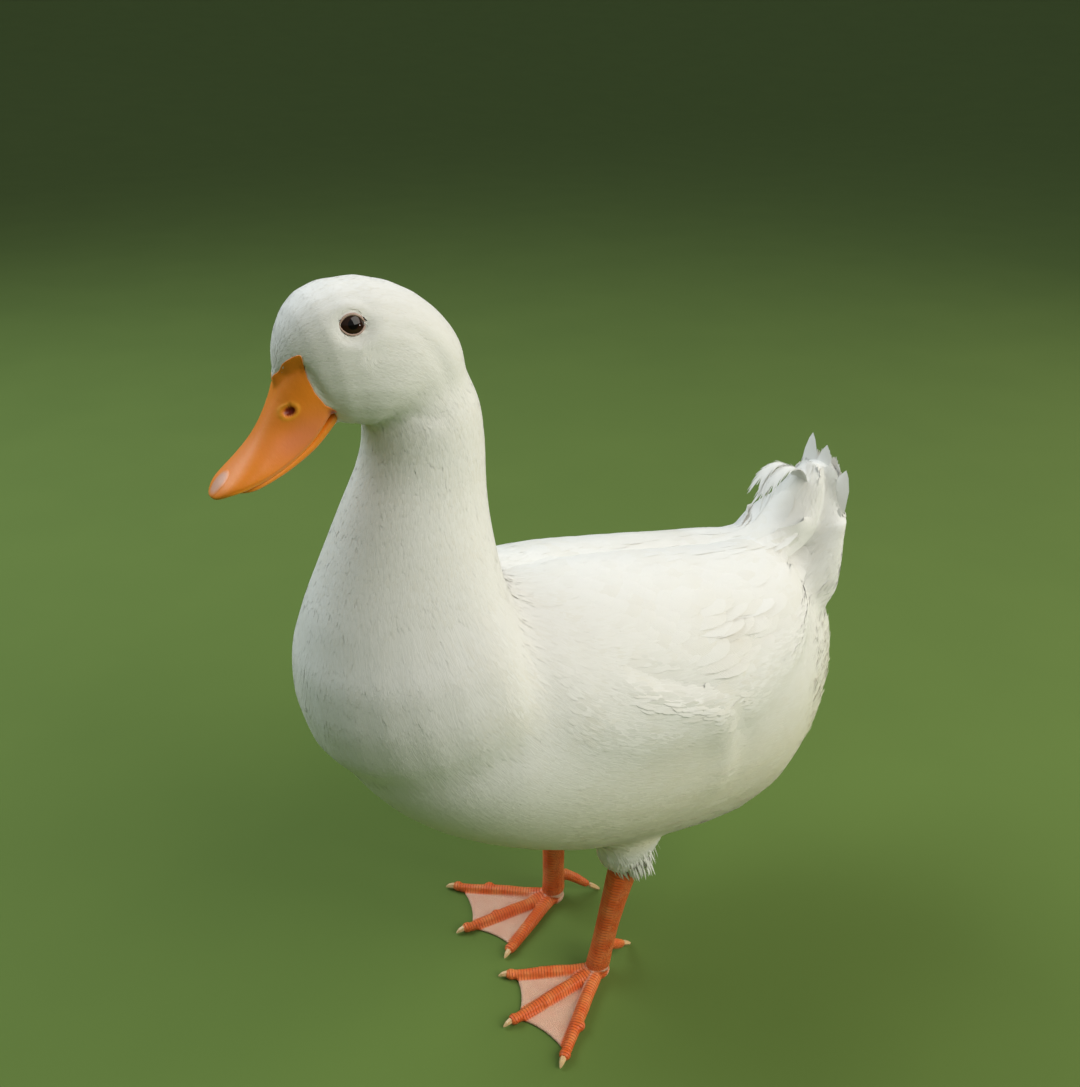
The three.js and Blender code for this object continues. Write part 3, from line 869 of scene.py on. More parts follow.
class Surface:
    """A mesh to sow feathers on and to lay them along."""

    def __init__(self, mesh):
        mesh.calc_loop_triangles()
        count = len(mesh.loop_triangles)
        corners = np.empty(count * 3, np.int32)
        mesh.loop_triangles.foreach_get("vertices", corners)
        self.corners = corners.reshape(-1, 3)
        self.places = mesh_array(mesh, "co")
        self.normals = mesh_array(mesh, "normal")
        triangle = self.places[self.corners]
        cross = np.cross(triangle[:, 1] - triangle[:, 0], triangle[:, 2] - triangle[:, 0])
        self.areas = np.linalg.norm(cross, axis=1) / 2
        self.middles = triangle.mean(axis=1)
        self.facing = unit(self.normals[self.corners].sum(axis=1))
        self.tree = BVHTree.FromPolygons(
            self.places.tolist(), self.corners.tolist(), all_triangles=True)

    def sow(self, wanted, spacing):
        """Places spread evenly, about a spacing apart, over the triangles that are wanted."""
        chosen = np.flatnonzero(wanted)
        area = self.areas[chosen]
        count = int(area.sum() / spacing**2 * THROWS)
        pick = chosen[RNG.choice(len(chosen), count, p=area / area.sum())]
        a, b = RNG.random((2, count))
        over = a + b > 1
        a[over], b[over] = 1 - a[over], 1 - b[over]
        shares = np.column_stack([1 - a - b, a, b])[..., None]
        places = (self.places[self.corners[pick]] * shares).sum(axis=1)
        cells = np.floor(places / (spacing * 1.12)).astype(np.int64)
        _, first = np.unique(cells @ CELL_PRIMES, return_index=True)
        keep = np.sort(first)
        normals = unit((self.normals[self.corners[pick[keep]]] * shares[keep]).sum(axis=1))
        return places[keep], normals

    def settle(self, places):
        """The nearest places on the surface, with their smooth normals."""
        found = [self.tree.find_nearest(p) for p in places.tolist()]
        spots = np.array([f[0] for f in found])
        return spots, self.facing[np.array([f[2] for f in found])]

    def lay(self, roots, normals, lengths, steps, sway):
        """Paths that run from the roots along the lie of the coat, turned by sway in radians."""
        places, ups = [roots], [normals]
        for _ in range(steps):
            heading = lie(places[-1], ups[-1])
            across = np.cross(ups[-1], heading)
            heading = heading * np.cos(sway)[:, None] + across * np.sin(sway)[:, None]
            ahead = places[-1] + heading * (lengths / steps)[:, None]
            spots, facing = self.settle(ahead)
            loose = (ahead[:, 2] > TAIL_SKIN_TOP - 7 * MM) & (ahead[:, 1] > 140 * MM)
            spots[loose], facing[loose] = ahead[loose], ups[-1][loose]
            places.append(spots)
            ups.append(facing)
        return np.stack(places, axis=1), np.stack(ups, axis=1)


# ---- feathers ---------------------------------------------------------------------------------

STRAND = np.array([(-1, 0), (0, 1), (1, 0)], float)  # a section: across, and up in ridge heights
BLADE = np.array([(-1, -0.5), (-0.55, 0.55), (0, 1), (0.55, 0.55), (1, -0.5), (0, -0.7)], float)
PATCH = 0.003  # size of a tuft's patch on the baking map
MOST_TRIANGLES = 190_000


def ribbons(name, paths, ups, wide, ridge, section, tint, barb, material):
    """Closed blades along paths, joined into pieces that each stay under MOST_TRIANGLES."""
    count, steps = paths.shape[:2]
    each = (steps - 1) * len(section) * 2 + 2 * (len(section) - 2)
    pieces = max(1, math.ceil(count * each / MOST_TRIANGLES))
    made = []
    for i, part in enumerate(np.array_split(np.arange(count), pieces)):
        label = name if pieces == 1 else f"{name}_{i + 1}"
        arrays = (a[part] for a in (paths, ups, wide, ridge, tint, barb))
        made.append(ribbon_piece(label, *arrays, section=section, material=material))
    return made


def ribbon_faces(count, steps, corners):
    """The corners of the faces of closed ribbons, and how many corners each face has."""
    ring = np.arange(corners)
    turned = (ring + 1) % corners
    k = np.arange(steps - 1)[:, None] * corners
    quads = np.stack([k + ring, k + turned, k + corners + turned, k + corners + ring], axis=-1)
    caps = np.concatenate([ring[::-1], (steps - 1) * corners + ring])
    pattern = np.concatenate([quads.reshape(-1), caps])
    offset = (np.arange(count) * steps * corners)[:, None]
    sizes = np.concatenate([np.full(quads.size // 4, 4), [corners, corners]])
    return (pattern + offset).ravel(), np.tile(sizes, count)


def faces_mesh(name, places, loops, sizes):
    """A smooth mesh of the places, the corners of its faces and the faces' sizes."""
    mesh = bpy.data.meshes.new(name)
    mesh.vertices.add(places.size // 3)
    mesh.vertices.foreach_set("co", places.astype(np.float32).ravel())
    mesh.loops.add(len(loops))
    mesh.loops.foreach_set("vertex_index", loops.astype(np.int32))
    starts = np.concatenate([[0], np.cumsum(sizes)[:-1]])
    mesh.polygons.add(len(sizes))
    mesh.polygons.foreach_set("loop_start", starts.astype(np.int32))
    mesh.update(calc_edges=True)
    mesh.shade_smooth()
    mesh.set_sharp_from_angle(angle=math.radians(60))
    return mesh


def ribbon_piece(name, paths, ups, wide, ridge, tint, barb, section, material):
    """One piece of the coat, with its baking map and the values that its finish reads."""
    count, steps = paths.shape[:2]
    across, raised = section.T
    along = unit(np.gradient(paths, axis=1))
    side = unit(np.cross(along, ups))
    over = np.cross(side, along)
    places = (paths[:, :, None]
              + side[:, :, None] * (wide[..., None] * across)[..., None]
              + over[:, :, None] * (ridge[..., None] * raised)[..., None])
    loops, sizes = ribbon_faces(count, steps, len(section))
    mesh = faces_mesh(name, places, loops, sizes)
    lengthwise = np.linspace(0, 1, steps)[:, None]
    local = np.stack(np.broadcast_arrays((across + 1) / 2, lengthwise), axis=-1)
    root = unwrap(paths[:, 0])[:, None, None]
    flat = (root + PATCH * (local - 0.5)).reshape(-1, 2)
    uv = mesh.uv_layers.new(name="OFBake").uv
    uv.foreach_set("vector", flat[loops].astype(np.float32).ravel())
    paint(mesh, {"tint": np.repeat(tint, steps * len(section)), "barb": barb.reshape(-1)})
    piece = add_object(name, mesh, material)
    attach(piece, BODY)
    return piece


def along_paths(paths, share):
    """Points of each path at the shares of its length: paths (n, k, 3), share (n, ...)."""
    x = np.clip(share, 0, 1) * (paths.shape[1] - 1)
    i = np.minimum(x.astype(int), paths.shape[1] - 2)
    f = (x - i)[..., None]
    row = np.arange(len(paths)).reshape((-1,) + (1,) * (share.ndim - 1))
    return paths[row, i] * (1 - f) + paths[row, i + 1] * f


# Where a strand's sections stand along it, for each number of sections.
STRAND_MARKS = {3: np.array([0, 0.5, 1.0]), 4: np.array([0, 0.36, 0.72, 1.0])}


def strand_barbs(count, steps, apart):
    """Values across each strand for its fine barbs, shifted from strand to strand."""
    return (np.arange(count) * apart)[:, None, None] + np.zeros((count, steps, len(STRAND)))


def strand_runs(count, kind):
    """Where each strand of a feather stands across it, and its sections' shares of the path."""
    strands = kind["strands"]
    spread = np.linspace(-1, 1, strands) if strands > 1 else np.zeros(1)
    spread = spread + 0.35 / strands * RNG.standard_normal((count, strands))
    start = 0.02 + 0.16 * np.abs(spread) + 0.22 * RNG.random((count, strands))
    end = 1 - 0.20 * spread**2 - 0.12 * RNG.random((count, strands))
    marks = STRAND_MARKS[kind["steps"]]
    return spread, start[..., None] + (end - start)[..., None] * marks


def strand_heights(roots, kind, spread, share):
    """Millimetres by which each strand stands over the surface along its length."""
    lift = kind["lift"] * RNG.random(len(roots)) ** 2
    wild = kind["rough"] * RNG.standard_normal(spread.shape)
    wing_gap = wing_height(roots) - 5
    over_wing = kind["over_wing"] * bell(wing_gap, 8) * ease(roots[:, 1], 70 * MM, 40 * MM)
    over_wing = over_wing * (roots[:, 1] > -0.05)
    return (-kind["depth"] * (1 - share) ** 1.8 + over_wing[:, None, None]
            + kind["camber"] * (1 - spread[..., None] ** 2) * share
            + lift[:, None, None] * share**2 + wild[..., None] * share)


def strand_feathers(name, surface, roots, normals, kind, material):
    """Soft feathers, each a fan of strands. kind holds its sizes in millimetres."""
    count, strands = len(roots), kind["strands"]
    size = 1 + 0.16 * RNG.standard_normal(count)
    lengths = kind["length"] * MM * np.clip(size, 0.6, 1.4)
    if kind["top"]:
        room = kind["top"] * MM - 50 * roots[:, 0] ** 2 - roots[:, 2]
        lengths = np.clip(lengths, 6 * MM, np.maximum(room, 7 * MM))
    sway = math.radians(kind["sway"]) * RNG.standard_normal(count)
    paths, ups = surface.lay(roots, normals, lengths, 3, sway)
    spread, share = strand_runs(count, kind)
    at, up = along_paths(paths, share), unit(along_paths(ups, share))
    ahead = unit(along_paths(paths, share + 0.05) - along_paths(paths, share - 0.05))
    side = np.cross(ahead, up)
    fan = spread[..., None] * (0.42 + 0.58 * ease(share, 0, 0.6)) * kind["width"] / 2 * MM
    height = strand_heights(roots, kind, spread, share)
    at = at + side * fan[..., None] + up * (height * MM)[..., None]
    steps = kind["steps"]
    at, up = at.reshape(-1, steps, 3), up.reshape(-1, steps, 3)
    taper = np.interp(STRAND_MARKS[steps], [0, 0.4, 0.8, 1], [0.7, 1.0, 0.85, 0.22])
    wide = kind["strand"] / 2 * MM * taper * (0.85 + 0.3 * RNG.random((len(at), 1)))
    tint = np.repeat(np.clip(RNG.standard_normal(count) * 0.5, -1, 1), strands)
    barb = strand_barbs(len(at), steps, 1.7) + STRAND[:, 0] * wide[..., None] / MM
    ribbons(name, at, up, wide, wide * kind["ridge"], STRAND, tint, barb, material)


# Half width of a blade by share of its length, and where its sections stand.
BLADE_SHAPE = [
    (0, 0.30), (0.15, 0.62), (0.4, 0.95), (0.65, 1.0), (0.85, 0.86), (0.95, 0.58), (1, 0.16)]
BLADE_SHARES = np.array([0, 0.2, 0.42, 0.64, 0.82, 0.94, 1.0])
BODY_RADIUS = 75.0  # millimetres: wide feathers bend round a body of this size


def blades(name, paths, ups, widths, depth, lift, camber, material, point=1.0):
    """Flat feathers along the paths: widths in metres, depth, lift and camber in millimetres.

    point above 1 sharpens their tips.
    """
    count = len(paths)
    share = np.tile(BLADE_SHARES, (count, 1))
    at, up = along_paths(paths, share), unit(along_paths(ups, share))
    height = -depth * (1 - share) ** 2.0 + lift[:, None] * share**2
    at = at + up * (height * MM)[..., None]
    outline = profile(BLADE_SHAPE, BLADE_SHARES)[:, 0] ** point
    wide = widths[:, None] / 2 * outline
    hug = (wide / MM) ** 2 / (2 * BODY_RADIUS)
    ridge = (camber * outline + hug) * MM
    tint = np.clip(RNG.standard_normal(count) * 0.55, -1, 1)
    length = np.linalg.norm(np.diff(paths, axis=1), axis=2).sum(axis=1)
    slant = np.abs(BLADE[:, 0]) * (wide / MM)[..., None] * 0.9
    barb = (share * length[:, None] / MM)[..., None] - slant
    barb = barb + (np.arange(count) * 13.7)[:, None, None]
    ribbons(name, at, up, wide, ridge, BLADE, tint, barb, material)


# Soft feathers by region, in millimetres, with their sway in degrees. top is the height that
# none of them may pass, and over_wing how far they ride up on the folded wing's edge.
KIND_COLUMNS = (
    "spacing", "strands", "length", "width", "strand", "depth", "camber", "lift", "rough",
    "ridge", "sway", "steps", "top", "over_wing")
KINDS = {
    "face": (0.95, 1, 3.4, 0.0, 1.45, 0.2, 0.0, 0.02, 0.01, 0.075, 7, 3, None, 0),
    "crown": (1.2, 1, 6.0, 0.0, 1.9, 0.22, 0.0, 0.03, 0.015, 0.07, 7, 3, None, 0),
    "neck": (2.0, 2, 11.0, 2.2, 2.3, 0.22, 0.0, 0.03, 0.015, 0.07, 6, 3, None, 0),
    "breast": (2.75, 3, 16.0, 3.6, 2.8, 0.28, 0.02, 0.02, 0.01, 0.05, 5, 3, None, 0),
    "flank": (4.4, 7, 22.0, 9.0, 2.5, 0.55, 0.06, 0.10, 0.03, 0.06, 6, 4, None, 0.12),
    "rump": (4.4, 6, 19.0, 8.0, 2.1, 0.6, 0.06, 0.12, 0.03, 0.06, 7, 4, None, 0),
    "fluff": (5.0, 6, 19.0, 7.0, 1.5, 0.6, 0.1, 2.2, 0.18, 0.08, 12, 4, None, 0),
    "thigh": (3.4, 5, 13.0, 5.5, 1.5, 0.8, 0.05, 0.7, 0.1, 0.1, 9, 4, None, 0),
    "tail": (3.0, 4, 21.0, 3.4, 1.6, 0.5, 0.03, 0.05, 0.015, 0.06, 4, 4, 297, 0),
}


def regions(places):
    """Which region each place of the body belongs to, by name."""
    x, y, z = (places / MM).T
    ahead = ahead_of_edge(places)
    head = jaw_height(places) > 0
    bare = (ahead > -0.3) & (jaw_height(places) > -14) & (y < -120)
    for name in SIDES:
        _, height, share = from_eye(places, name)
        bare |= (share < 1.06) & (np.abs(height) < 14 * MM)
    eye_near = np.minimum(*(from_eye(places, name)[0] for name in SIDES))
    face = head & ((ahead > -13) | (eye_near < 12 * MM) & (np.abs(x) > 12))
    neck = ~head & (z > 292)
    wing = wing_height(places)
    folded = (wing > 3.5 + 8 * ease(y, 70, 40)) & (y > -44) & ~neck & ~head
    thigh = (z < 106) & (np.abs(x) > 10) & (y > -25) & (y < 60)
    tail = (z > 216) & (y > 136)
    folded &= ~tail
    rump = ~folded & ~thigh & ~tail & (y > 52 + 0.2 * (z - 180)) & ~neck & ~head
    fluff = rump & (y > 118) & (z > 128) & (z < 200)
    side = (np.abs(x) > 48) & (y > -62) & (z > 118) & (z < 285)
    flank = side & ~(folded | rump | thigh | neck | head)
    rest = ~(head | neck | folded | thigh | rump | flank | tail)
    tail_cover = tail & (z < 284) & ~((np.abs(x) > 26) & (z > 252))
    masks = {
        "face": face, "crown": head & ~face, "neck": neck, "flank": flank, "rump": rump,
        "fluff": fluff, "thigh": thigh, "breast": rest, "tail": tail_cover}
    return {name: mask & ~bare for name, mask in masks.items()}


def coat_soft(surface, where, material):
    """The soft feathers of every region."""
    for name, sizes in KINDS.items():
        kind = dict(zip(KIND_COLUMNS, sizes))
        roots, normals = surface.sow(where[name], kind["spacing"] * MM)
        strand_feathers(f"coat_{name}", surface, roots, normals, kind, material)


def rows_over_back(surface, first, last, row, column):
    """Roots in staggered rows across the back and wings, by y and by angle round the body."""
    places, normals = [], []
    for i, y in enumerate(np.arange(first, last, row)):
        centre = np.array([0, y, 205 + 10 * float(ease(y, 90, 150))]) * MM
        for angle in np.radians(np.arange(-120, 121, column) + column / 2 * (i % 2)):
            outwards = np.array([math.sin(angle), 0, math.cos(angle)])
            shift = np.array([0, RNG.normal() * 0.06 * row, 0]) * MM
            start = centre + outwards * 0.2 + shift
            found = surface.tree.ray_cast(start.tolist(), (-outwards).tolist())
            if found[0]:
                places.append(np.array(found[0]))
                normals.append(surface.facing[found[2]])
    return np.array(places), np.array(normals)


# Bands of back feathers and wing coverts: first and last y, distance of rows in millimetres and
# of columns in degrees, then length and width of the feathers in millimetres.
BANDS = [("shoulder", -54, 8, 5.6, 7.2, 26, 12.5), ("back", 2, 128, 8.2, 9.4, 42, 17.5)]


def coat_folded(surface, material):
    """Back feathers and wing coverts in staggered rows, longer towards the tail."""
    for name, first, last, row, column, length, width in BANDS:
        roots, normals = rows_over_back(surface, first, last, row, column)
        height = wing_height(roots)
        _, y, z = (roots / MM).T
        on_wing = height > 1.5 + 6 * ease(y, 70, 40)
        keep = on_wing & (z < 291) & (jaw_height(roots) < -10) & ~((y > 122) & (z > 246))
        roots, normals, height, y = roots[keep], normals[keep], height[keep], y[keep]
        count = len(roots)
        creased = bell(y - 38, 27) * bell(height - 16, 16)
        hand = np.sign(roots[:, 0])
        size = np.clip(1 + 0.05 * RNG.standard_normal(count), 0.85, 1.15) * (1 - 0.25 * creased)
        sway = np.radians(1.5 + 7 * creased) * RNG.standard_normal(count)
        paths, ups = surface.lay(roots, normals, length * MM * size, 6, sway)
        ahead = unit(np.gradient(paths, axis=1))
        roll = creased * hand * (0.14 + 0.40 * RNG.random(count))
        ups = unit(ups + np.cross(ups, ahead) * roll[:, None, None])
        lift = 0.08 + 0.12 * RNG.random(count) + 0.45 * creased * RNG.random(count) ** 1.5
        lift = lift - 0.25 * ease(height, 22, 9) * ease(y, 70, 40) * (1 - creased)
        widths = width * MM * size * (1 - 0.25 * creased)
        blades(f"coat_{name}", paths, ups, widths, 1.3, lift, 0.16, material)


# Long feathers that sweep to the tail: paths on the left, width and lift in millimetres.
TERTIALS = [
    ([(62, 58, 234), (56, 84, 240), (44, 108, 245), (36, 120, 249)], 16, 0.06),
    ([(55, 52, 245), (48, 78, 249), (35, 104, 252), (27, 117, 253)], 17, 0.08),
    ([(45, 44, 255), (38, 72, 256), (25, 100, 257), (18, 114, 256)], 17, 0.1),
    ([(33, 36, 262), (27, 68, 262), (17, 98, 260), (11, 112, 259)], 17, 0.12),
]
# The closed stack of wing quills seen along the wing's rear edge.
QUILLS = [
    (74, 54, 219), (69, 64, 228), (60, 86, 234), (50, 108, 237), (40, 126, 239), (31, 142, 243)]


def long_feathers(surface, lines, widths, heights, name, material, camber=0.25, point=1.0):
    """Feathers laid over the body along given lines, on both sides."""
    paths, ups = [], []
    for line in lines:
        for hand in (1, -1):
            points = spline(np.array(line, float) * (hand, 1, 1), np.linspace(0, 1, 12)) * MM
            spots, facing = surface.settle(points)
            for _ in range(6):
                facing[1:-1] = unit(facing[:-2] + facing[1:-1] + facing[2:])
            paths.append(spots)
            ups.append(facing)
    lift = np.repeat(heights, 2) + 0.05 * RNG.standard_normal(2 * len(lines))
    widths = np.repeat(widths, 2) * MM
    blades(name, np.array(paths), np.array(ups), widths, 0.6, lift, camber, material, point)


def coat_long(surface, material):
    """The tertials over the rump, and the edges of the stacked wing quills under them."""
    lines, widths, heights = zip(*TERTIALS)
    long_feathers(surface, lines, widths, heights, "tertials", material)
    stack, heights = [], []
    for i in range(6):
        base = np.array(QUILLS, float) + (-0.7 * i, 0, 2.2 * i)
        stack.append(spline(base, np.linspace(0.05 * i, 1 - 0.035 * i, 8)))
        heights.append(0.25 + 0.1 * i)
    long_feathers(surface, stack, [9.0] * 6, heights, "quills", material, camber=0.3, point=0.8)


# ---- pieces -----------------------------------------------------------------------------------


SKIN_TRIANGLES = 150_000


def skin_depth(places):
    """Millimetres from the plumage's outline down to the skin, less where feathers are short."""
    _, y, z = (places / MM).T
    jaw = jaw_height(places)
    depth = 0.19 - 0.05 * ease(z, 270, 310) - 0.01 * ease(jaw, -12, 8)
    wing = 0.4 * ease(wing_height(places), 9, 16)
    depth = depth + wing * (jaw < -12) * (z < 290) * ease(y, -46, -34) * ease(y, 122, 104)
    eye_near = np.minimum(*(from_eye(places, name)[0] for name in SIDES)) / MM
    depth = depth * (1 - 0.2 * (1 - ease(eye_near, 6, 11)) * (jaw > 0))
    ahead = ahead_of_edge(places)
    near_bill = (jaw > 0) & (ahead > -12)
    depth = np.where(near_bill, np.minimum(depth, 0.11 + 0.01 * np.abs(ahead)), depth)
    return depth + ease(ahead, 0.0, 1.6) * (jaw > -14) * (y < -120) * 2.4


def build_skin(form, material):
    """One skin for the body, inside the outline by the coat's depth."""
    places, normals = mesh_array(form, "co"), mesh_array(form, "normal")
    mesh = form.copy()
    set_places(mesh, places - normals * (skin_depth(places) * MM)[:, None])
    share = min(1.0, SKIN_TRIANGLES / (2 * len(mesh.polygons)))
    thin = applied(add_object("body_skin", mesh), ("DECIMATE", {"ratio": share}))
    thin.materials.clear()
    thin.shade_smooth()
    skin = add_object("skin", thin, material)
    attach(skin, BODY)
    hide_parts(*FLESH, "tail")


def upper_outline(along, cosine, sine):
    """The upper bill's sections: height of their middle and radius, rounding off at the tip."""
    middle, wide, up, down = bill_sections(along)
    tip = np.clip((along - 46) / (BILL_LENGTH - 46), 0, 1)
    blunt = np.maximum((1 - tip**2.7) ** (1 / 2.7), 0.02)
    reach = np.where(sine > 0, up, down) * (0.35 + 0.65 * blunt)
    return middle, section_radius(along, wide * blunt, reach, cosine, sine)


FACE_REACH = 45.0  # millimetres out from the middle of the bill, well outside the face


def out_to_face(surface, along, middle, cosine, sine):
    """Millimetres from the middle of the bill straight out to the face, or nan past it."""
    outwards = cosine[:, None] * np.array([1.0, 0, 0]) + sine[:, None] * BILL_UP
    start = from_bill(along, 0.0, middle) + outwards * FACE_REACH * MM
    out = np.empty(len(along))
    for i, (origin, heading) in enumerate(zip(start.tolist(), (-outwards).tolist())):
        found = surface.tree.ray_cast(origin, heading)
        out[i] = FACE_REACH - found[3] / MM if found[0] else np.nan
    return out


BILL_CLOSING = 0.07  # the share of the bill's mesh that closes its base, inside the head


def upper_ball(surface):
    """The plain upper bill, its base laid to the face."""

    def place(share, angle):
        rise = np.clip(share / BILL_CLOSING, 0, 1)
        run = np.clip((share - BILL_CLOSING) / (1 - BILL_CLOSING), 0, 1)
        edge = bill_edge(angle)
        along = edge + (BILL_LENGTH - edge) * (1 - (1 - run) ** 1.25)
        cosine, sine = np.cos(angle), np.sin(angle)
        middle, radius = upper_outline(along, cosine, sine)
        radius = np.where(share > 0.999, 0, radius)
        blend = (1 - ease(along - edge, 0.5, 8)) * ease(sine, -0.75, -0.3)
        near = np.flatnonzero(blend > 0)
        face = out_to_face(surface, along[near], middle[near], cosine[near], sine[near]) + 0.15
        face = np.where(np.isnan(face), radius[near], face)
        radius[near] += (face - radius[near]) * blend[near]
        spot = from_bill(along, radius * cosine, middle + radius * sine)
        core = from_bill(np.full(len(along), -3.0), 0.0, np.full(len(along), 8.0))
        turn = np.sqrt(1 - (1 - rise) ** 2)[:, None]
        return core + (spot - core) * np.where(rise[:, None] < 1, turn, 1)

    return shaped_ball(176, 150, place)


# The nostril's middle along and over the bill, its half length and height, in millimetres.
NOSTRIL_ALONG, NOSTRIL_OVER, NOSTRIL_LONG, NOSTRIL_HIGH = 14.0, 10.8, 2.7, 1.9
NOSTRIL_TURN = math.radians(-8)


def from_nostril(along, over):
    """Distance from the nostril's middle in shares of its size."""
    d = np.column_stack([along - NOSTRIL_ALONG, over - NOSTRIL_OVER])
    cosine, sine = math.cos(NOSTRIL_TURN), math.sin(NOSTRIL_TURN)
    a = (d[:, 0] * cosine + d[:, 1] * sine) / NOSTRIL_LONG
    b = (-d[:, 0] * sine + d[:, 1] * cosine) / NOSTRIL_HIGH
    return np.hypot(a, b)


def bill_upper_mesh(surface):
    """The upper bill, with lobes at its base that meet the face, a lip and nostrils."""
    mesh = mesh_from(upper_ball(surface), "upper_bill")
    places, normals = mesh_array(mesh, "co"), mesh_array(mesh, "normal")
    along, across, over = in_bill(places)
    across = np.abs(across)
    middle, _, _, down = bill_sections(along)
    from_lip = over - (middle - down)
    hole = from_nostril(along, over)
    outside = across > 3
    move = (-1.8 * (1 - ease(hole, 0.45, 1.0)) + 0.3 * bell(hole - 1.35, 0.25)) * outside
    lip_run = ease(along, 3, 9) * (1 - ease(along, 50, 56)) * (across > 2)
    move -= 0.42 * bell(from_lip - 2.7, 0.6) * lip_run
    move -= 0.5 * bell(np.hypot((along - 20) / 8, (over - 5.0) / 5.0), 0.8) * outside
    set_places(mesh, places + normals * (move * MM)[:, None])
    lip = (1 - ease(from_lip, 1.6, 3.0)) * ease(along, 0, 6)
    # a painted highlight on the nostril's rim, in the lip's yellow
    painted_nostril_highlight = bell(hole - 1.45, 0.35) * outside * 0.8
    # painted shade in the nostril's shallow pit, dark red
    painted_hollow_shade = (1 - ease(hole, 0.7, 1.0)) * outside
    # painted shade in the crease at the corner of the mouth
    gape = 0.85 * bell(np.hypot(along - 0.5, (over + 0.5) / 1.3), 1.5) * (across > 9)
    salmon = bell(np.hypot((along - 17) / 19, (over + 1) / 8.5), 0.85) * (across > 5)
    paint(mesh, {
        "ridge": 0.75 * bell(across, 5.5) * ease(along, 12, 22) * (over > middle),
        "salmon": salmon,
        # the lip's own yellow, with the painted highlight round the nostrils
        "lip": np.clip(lip + painted_nostril_highlight, 0, 1),
        "painted_hollow_shade": np.clip(painted_hollow_shade + gape, 0, 1),
    })
    return mesh


# The lower bill: millimetres along and over the gape, half width, and reach over and under.
LOWER_BILL = [
    (-3, -4.6, 10.2, 3, 3.2), (6, -7.2, 10.4, 3, 3.2), (16, -9.2, 10.2, 3, 3.2),
    (30, -9.2, 10.2, 2.6, 2.8), (44, -6.8, 10.6, 2.2, 2.2), (54, -4.0, 8.0, 1.4, 1.6)]
NAIL_ALONG = 55.2  # middle of the nail, in millimetres along the bill
NAIL_WIDE = 5.2


def lower_bill_mesh():
    """The lower bill, evenly coloured."""
    stations = []
    for along, over, wide, up, down in LOWER_BILL:
        middle = from_bill(np.array(along), 0.0, np.array(over))
        stations.append((*middle, wide * MM, up * MM, down * MM))
    bm = loft(stations, BILL_UP, sides=64, rings=60, square=2.4, ends=(0.06, 0.2))
    mesh = mesh_from(bm, "lower_bill")
    zero = np.zeros(len(mesh.vertices))
    paint(mesh, {"ridge": zero + 0.3, "salmon": zero, "lip": zero + 0.35, "painted_hollow_shade": zero})
    return mesh


def nail_mesh(horn_surface):
    """The nail at the tip of the upper bill, laid on it and bent down over its end."""

    def place(share, angle):
        out = 2 * np.where(share > 0.5, 1 - share, share)
        forward = np.sin(angle)
        across = NAIL_WIDE * out * np.cos(angle) * (1 - 0.15 * forward)
        over = 3.2 - 5.6 * out**2 * np.maximum(forward, 0) ** 2
        target = from_bill(NAIL_ALONG + 7.0 * out * forward, across, over)
        spots, facing = horn_surface.settle(target)
        height = np.where(share > 0.5, -1.1, 0.26 * (1 - out**3) + 0.02)
        return spots + facing * (height * MM)[:, None]

    mesh = mesh_from(shaped_ball(56, 48, place), "bill_tip_nail")
    along, across, _ = in_bill(mesh_array(mesh, "co"))
    rim = np.hypot((along - NAIL_ALONG) / 6.2, across / NAIL_WIDE)
    paint(mesh, {"edge": ease(rim - 0.18 * ease(along, 56, 50), 0.45, 1.05)})
    return mesh


def build_bill(surface):
    """The upper and lower bill and the nail."""
    horn = bill_finish()
    upper = add_object("upper_bill", bill_upper_mesh(surface), horn)
    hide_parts("bill_upper")
    lower = add_object("lower_bill", lower_bill_mesh(), horn)
    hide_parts("bill_lower")
    nail = add_object("bill_tip_nail", nail_mesh(Surface(upper.data)), nail_finish())
    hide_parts("bill_nail")
    for piece, slot in ((upper, "bill"), (lower, "bill"), (nail, "bill_nail")):
        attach(piece, BODY)


def build_eyes():
    """An eyeball and an eyelid on each side."""
    eye_material, lid_material = eye_finish(), lid_finish()
    for name in SIDES:
        face, look = eye_frame(name)
        middle = face - look * (EYE_BALL + EYE_SUNK)
        bm = bmesh.new()
        bmesh.ops.create_uvsphere(bm, u_segments=64, v_segments=48, radius=EYE_BALL)
        turn = Vector((0, 0, 1)).rotation_difference(Vector(look)).to_matrix()
        bmesh.ops.rotate(bm, verts=bm.verts[:], matrix=turn)
        bmesh.ops.translate(bm, verts=bm.verts[:], vec=middle)
        mesh = mesh_from(bm, f"eyeball_{name}")
        out, _, _ = from_eye(mesh_array(mesh, "co"), name)
        paint(mesh, {"iris": out / EYE_WIDE})
        ball = add_object(f"eyeball_{name}", mesh, eye_material)
        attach(ball, BODY)
        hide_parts(f"eye_{name}")
        lid = add_object(f"eyelid_{name}", lid_mesh(name), lid_material)
        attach(lid, BODY)


LID_RING = 10.0  # radius of the ring that becomes an eyelid


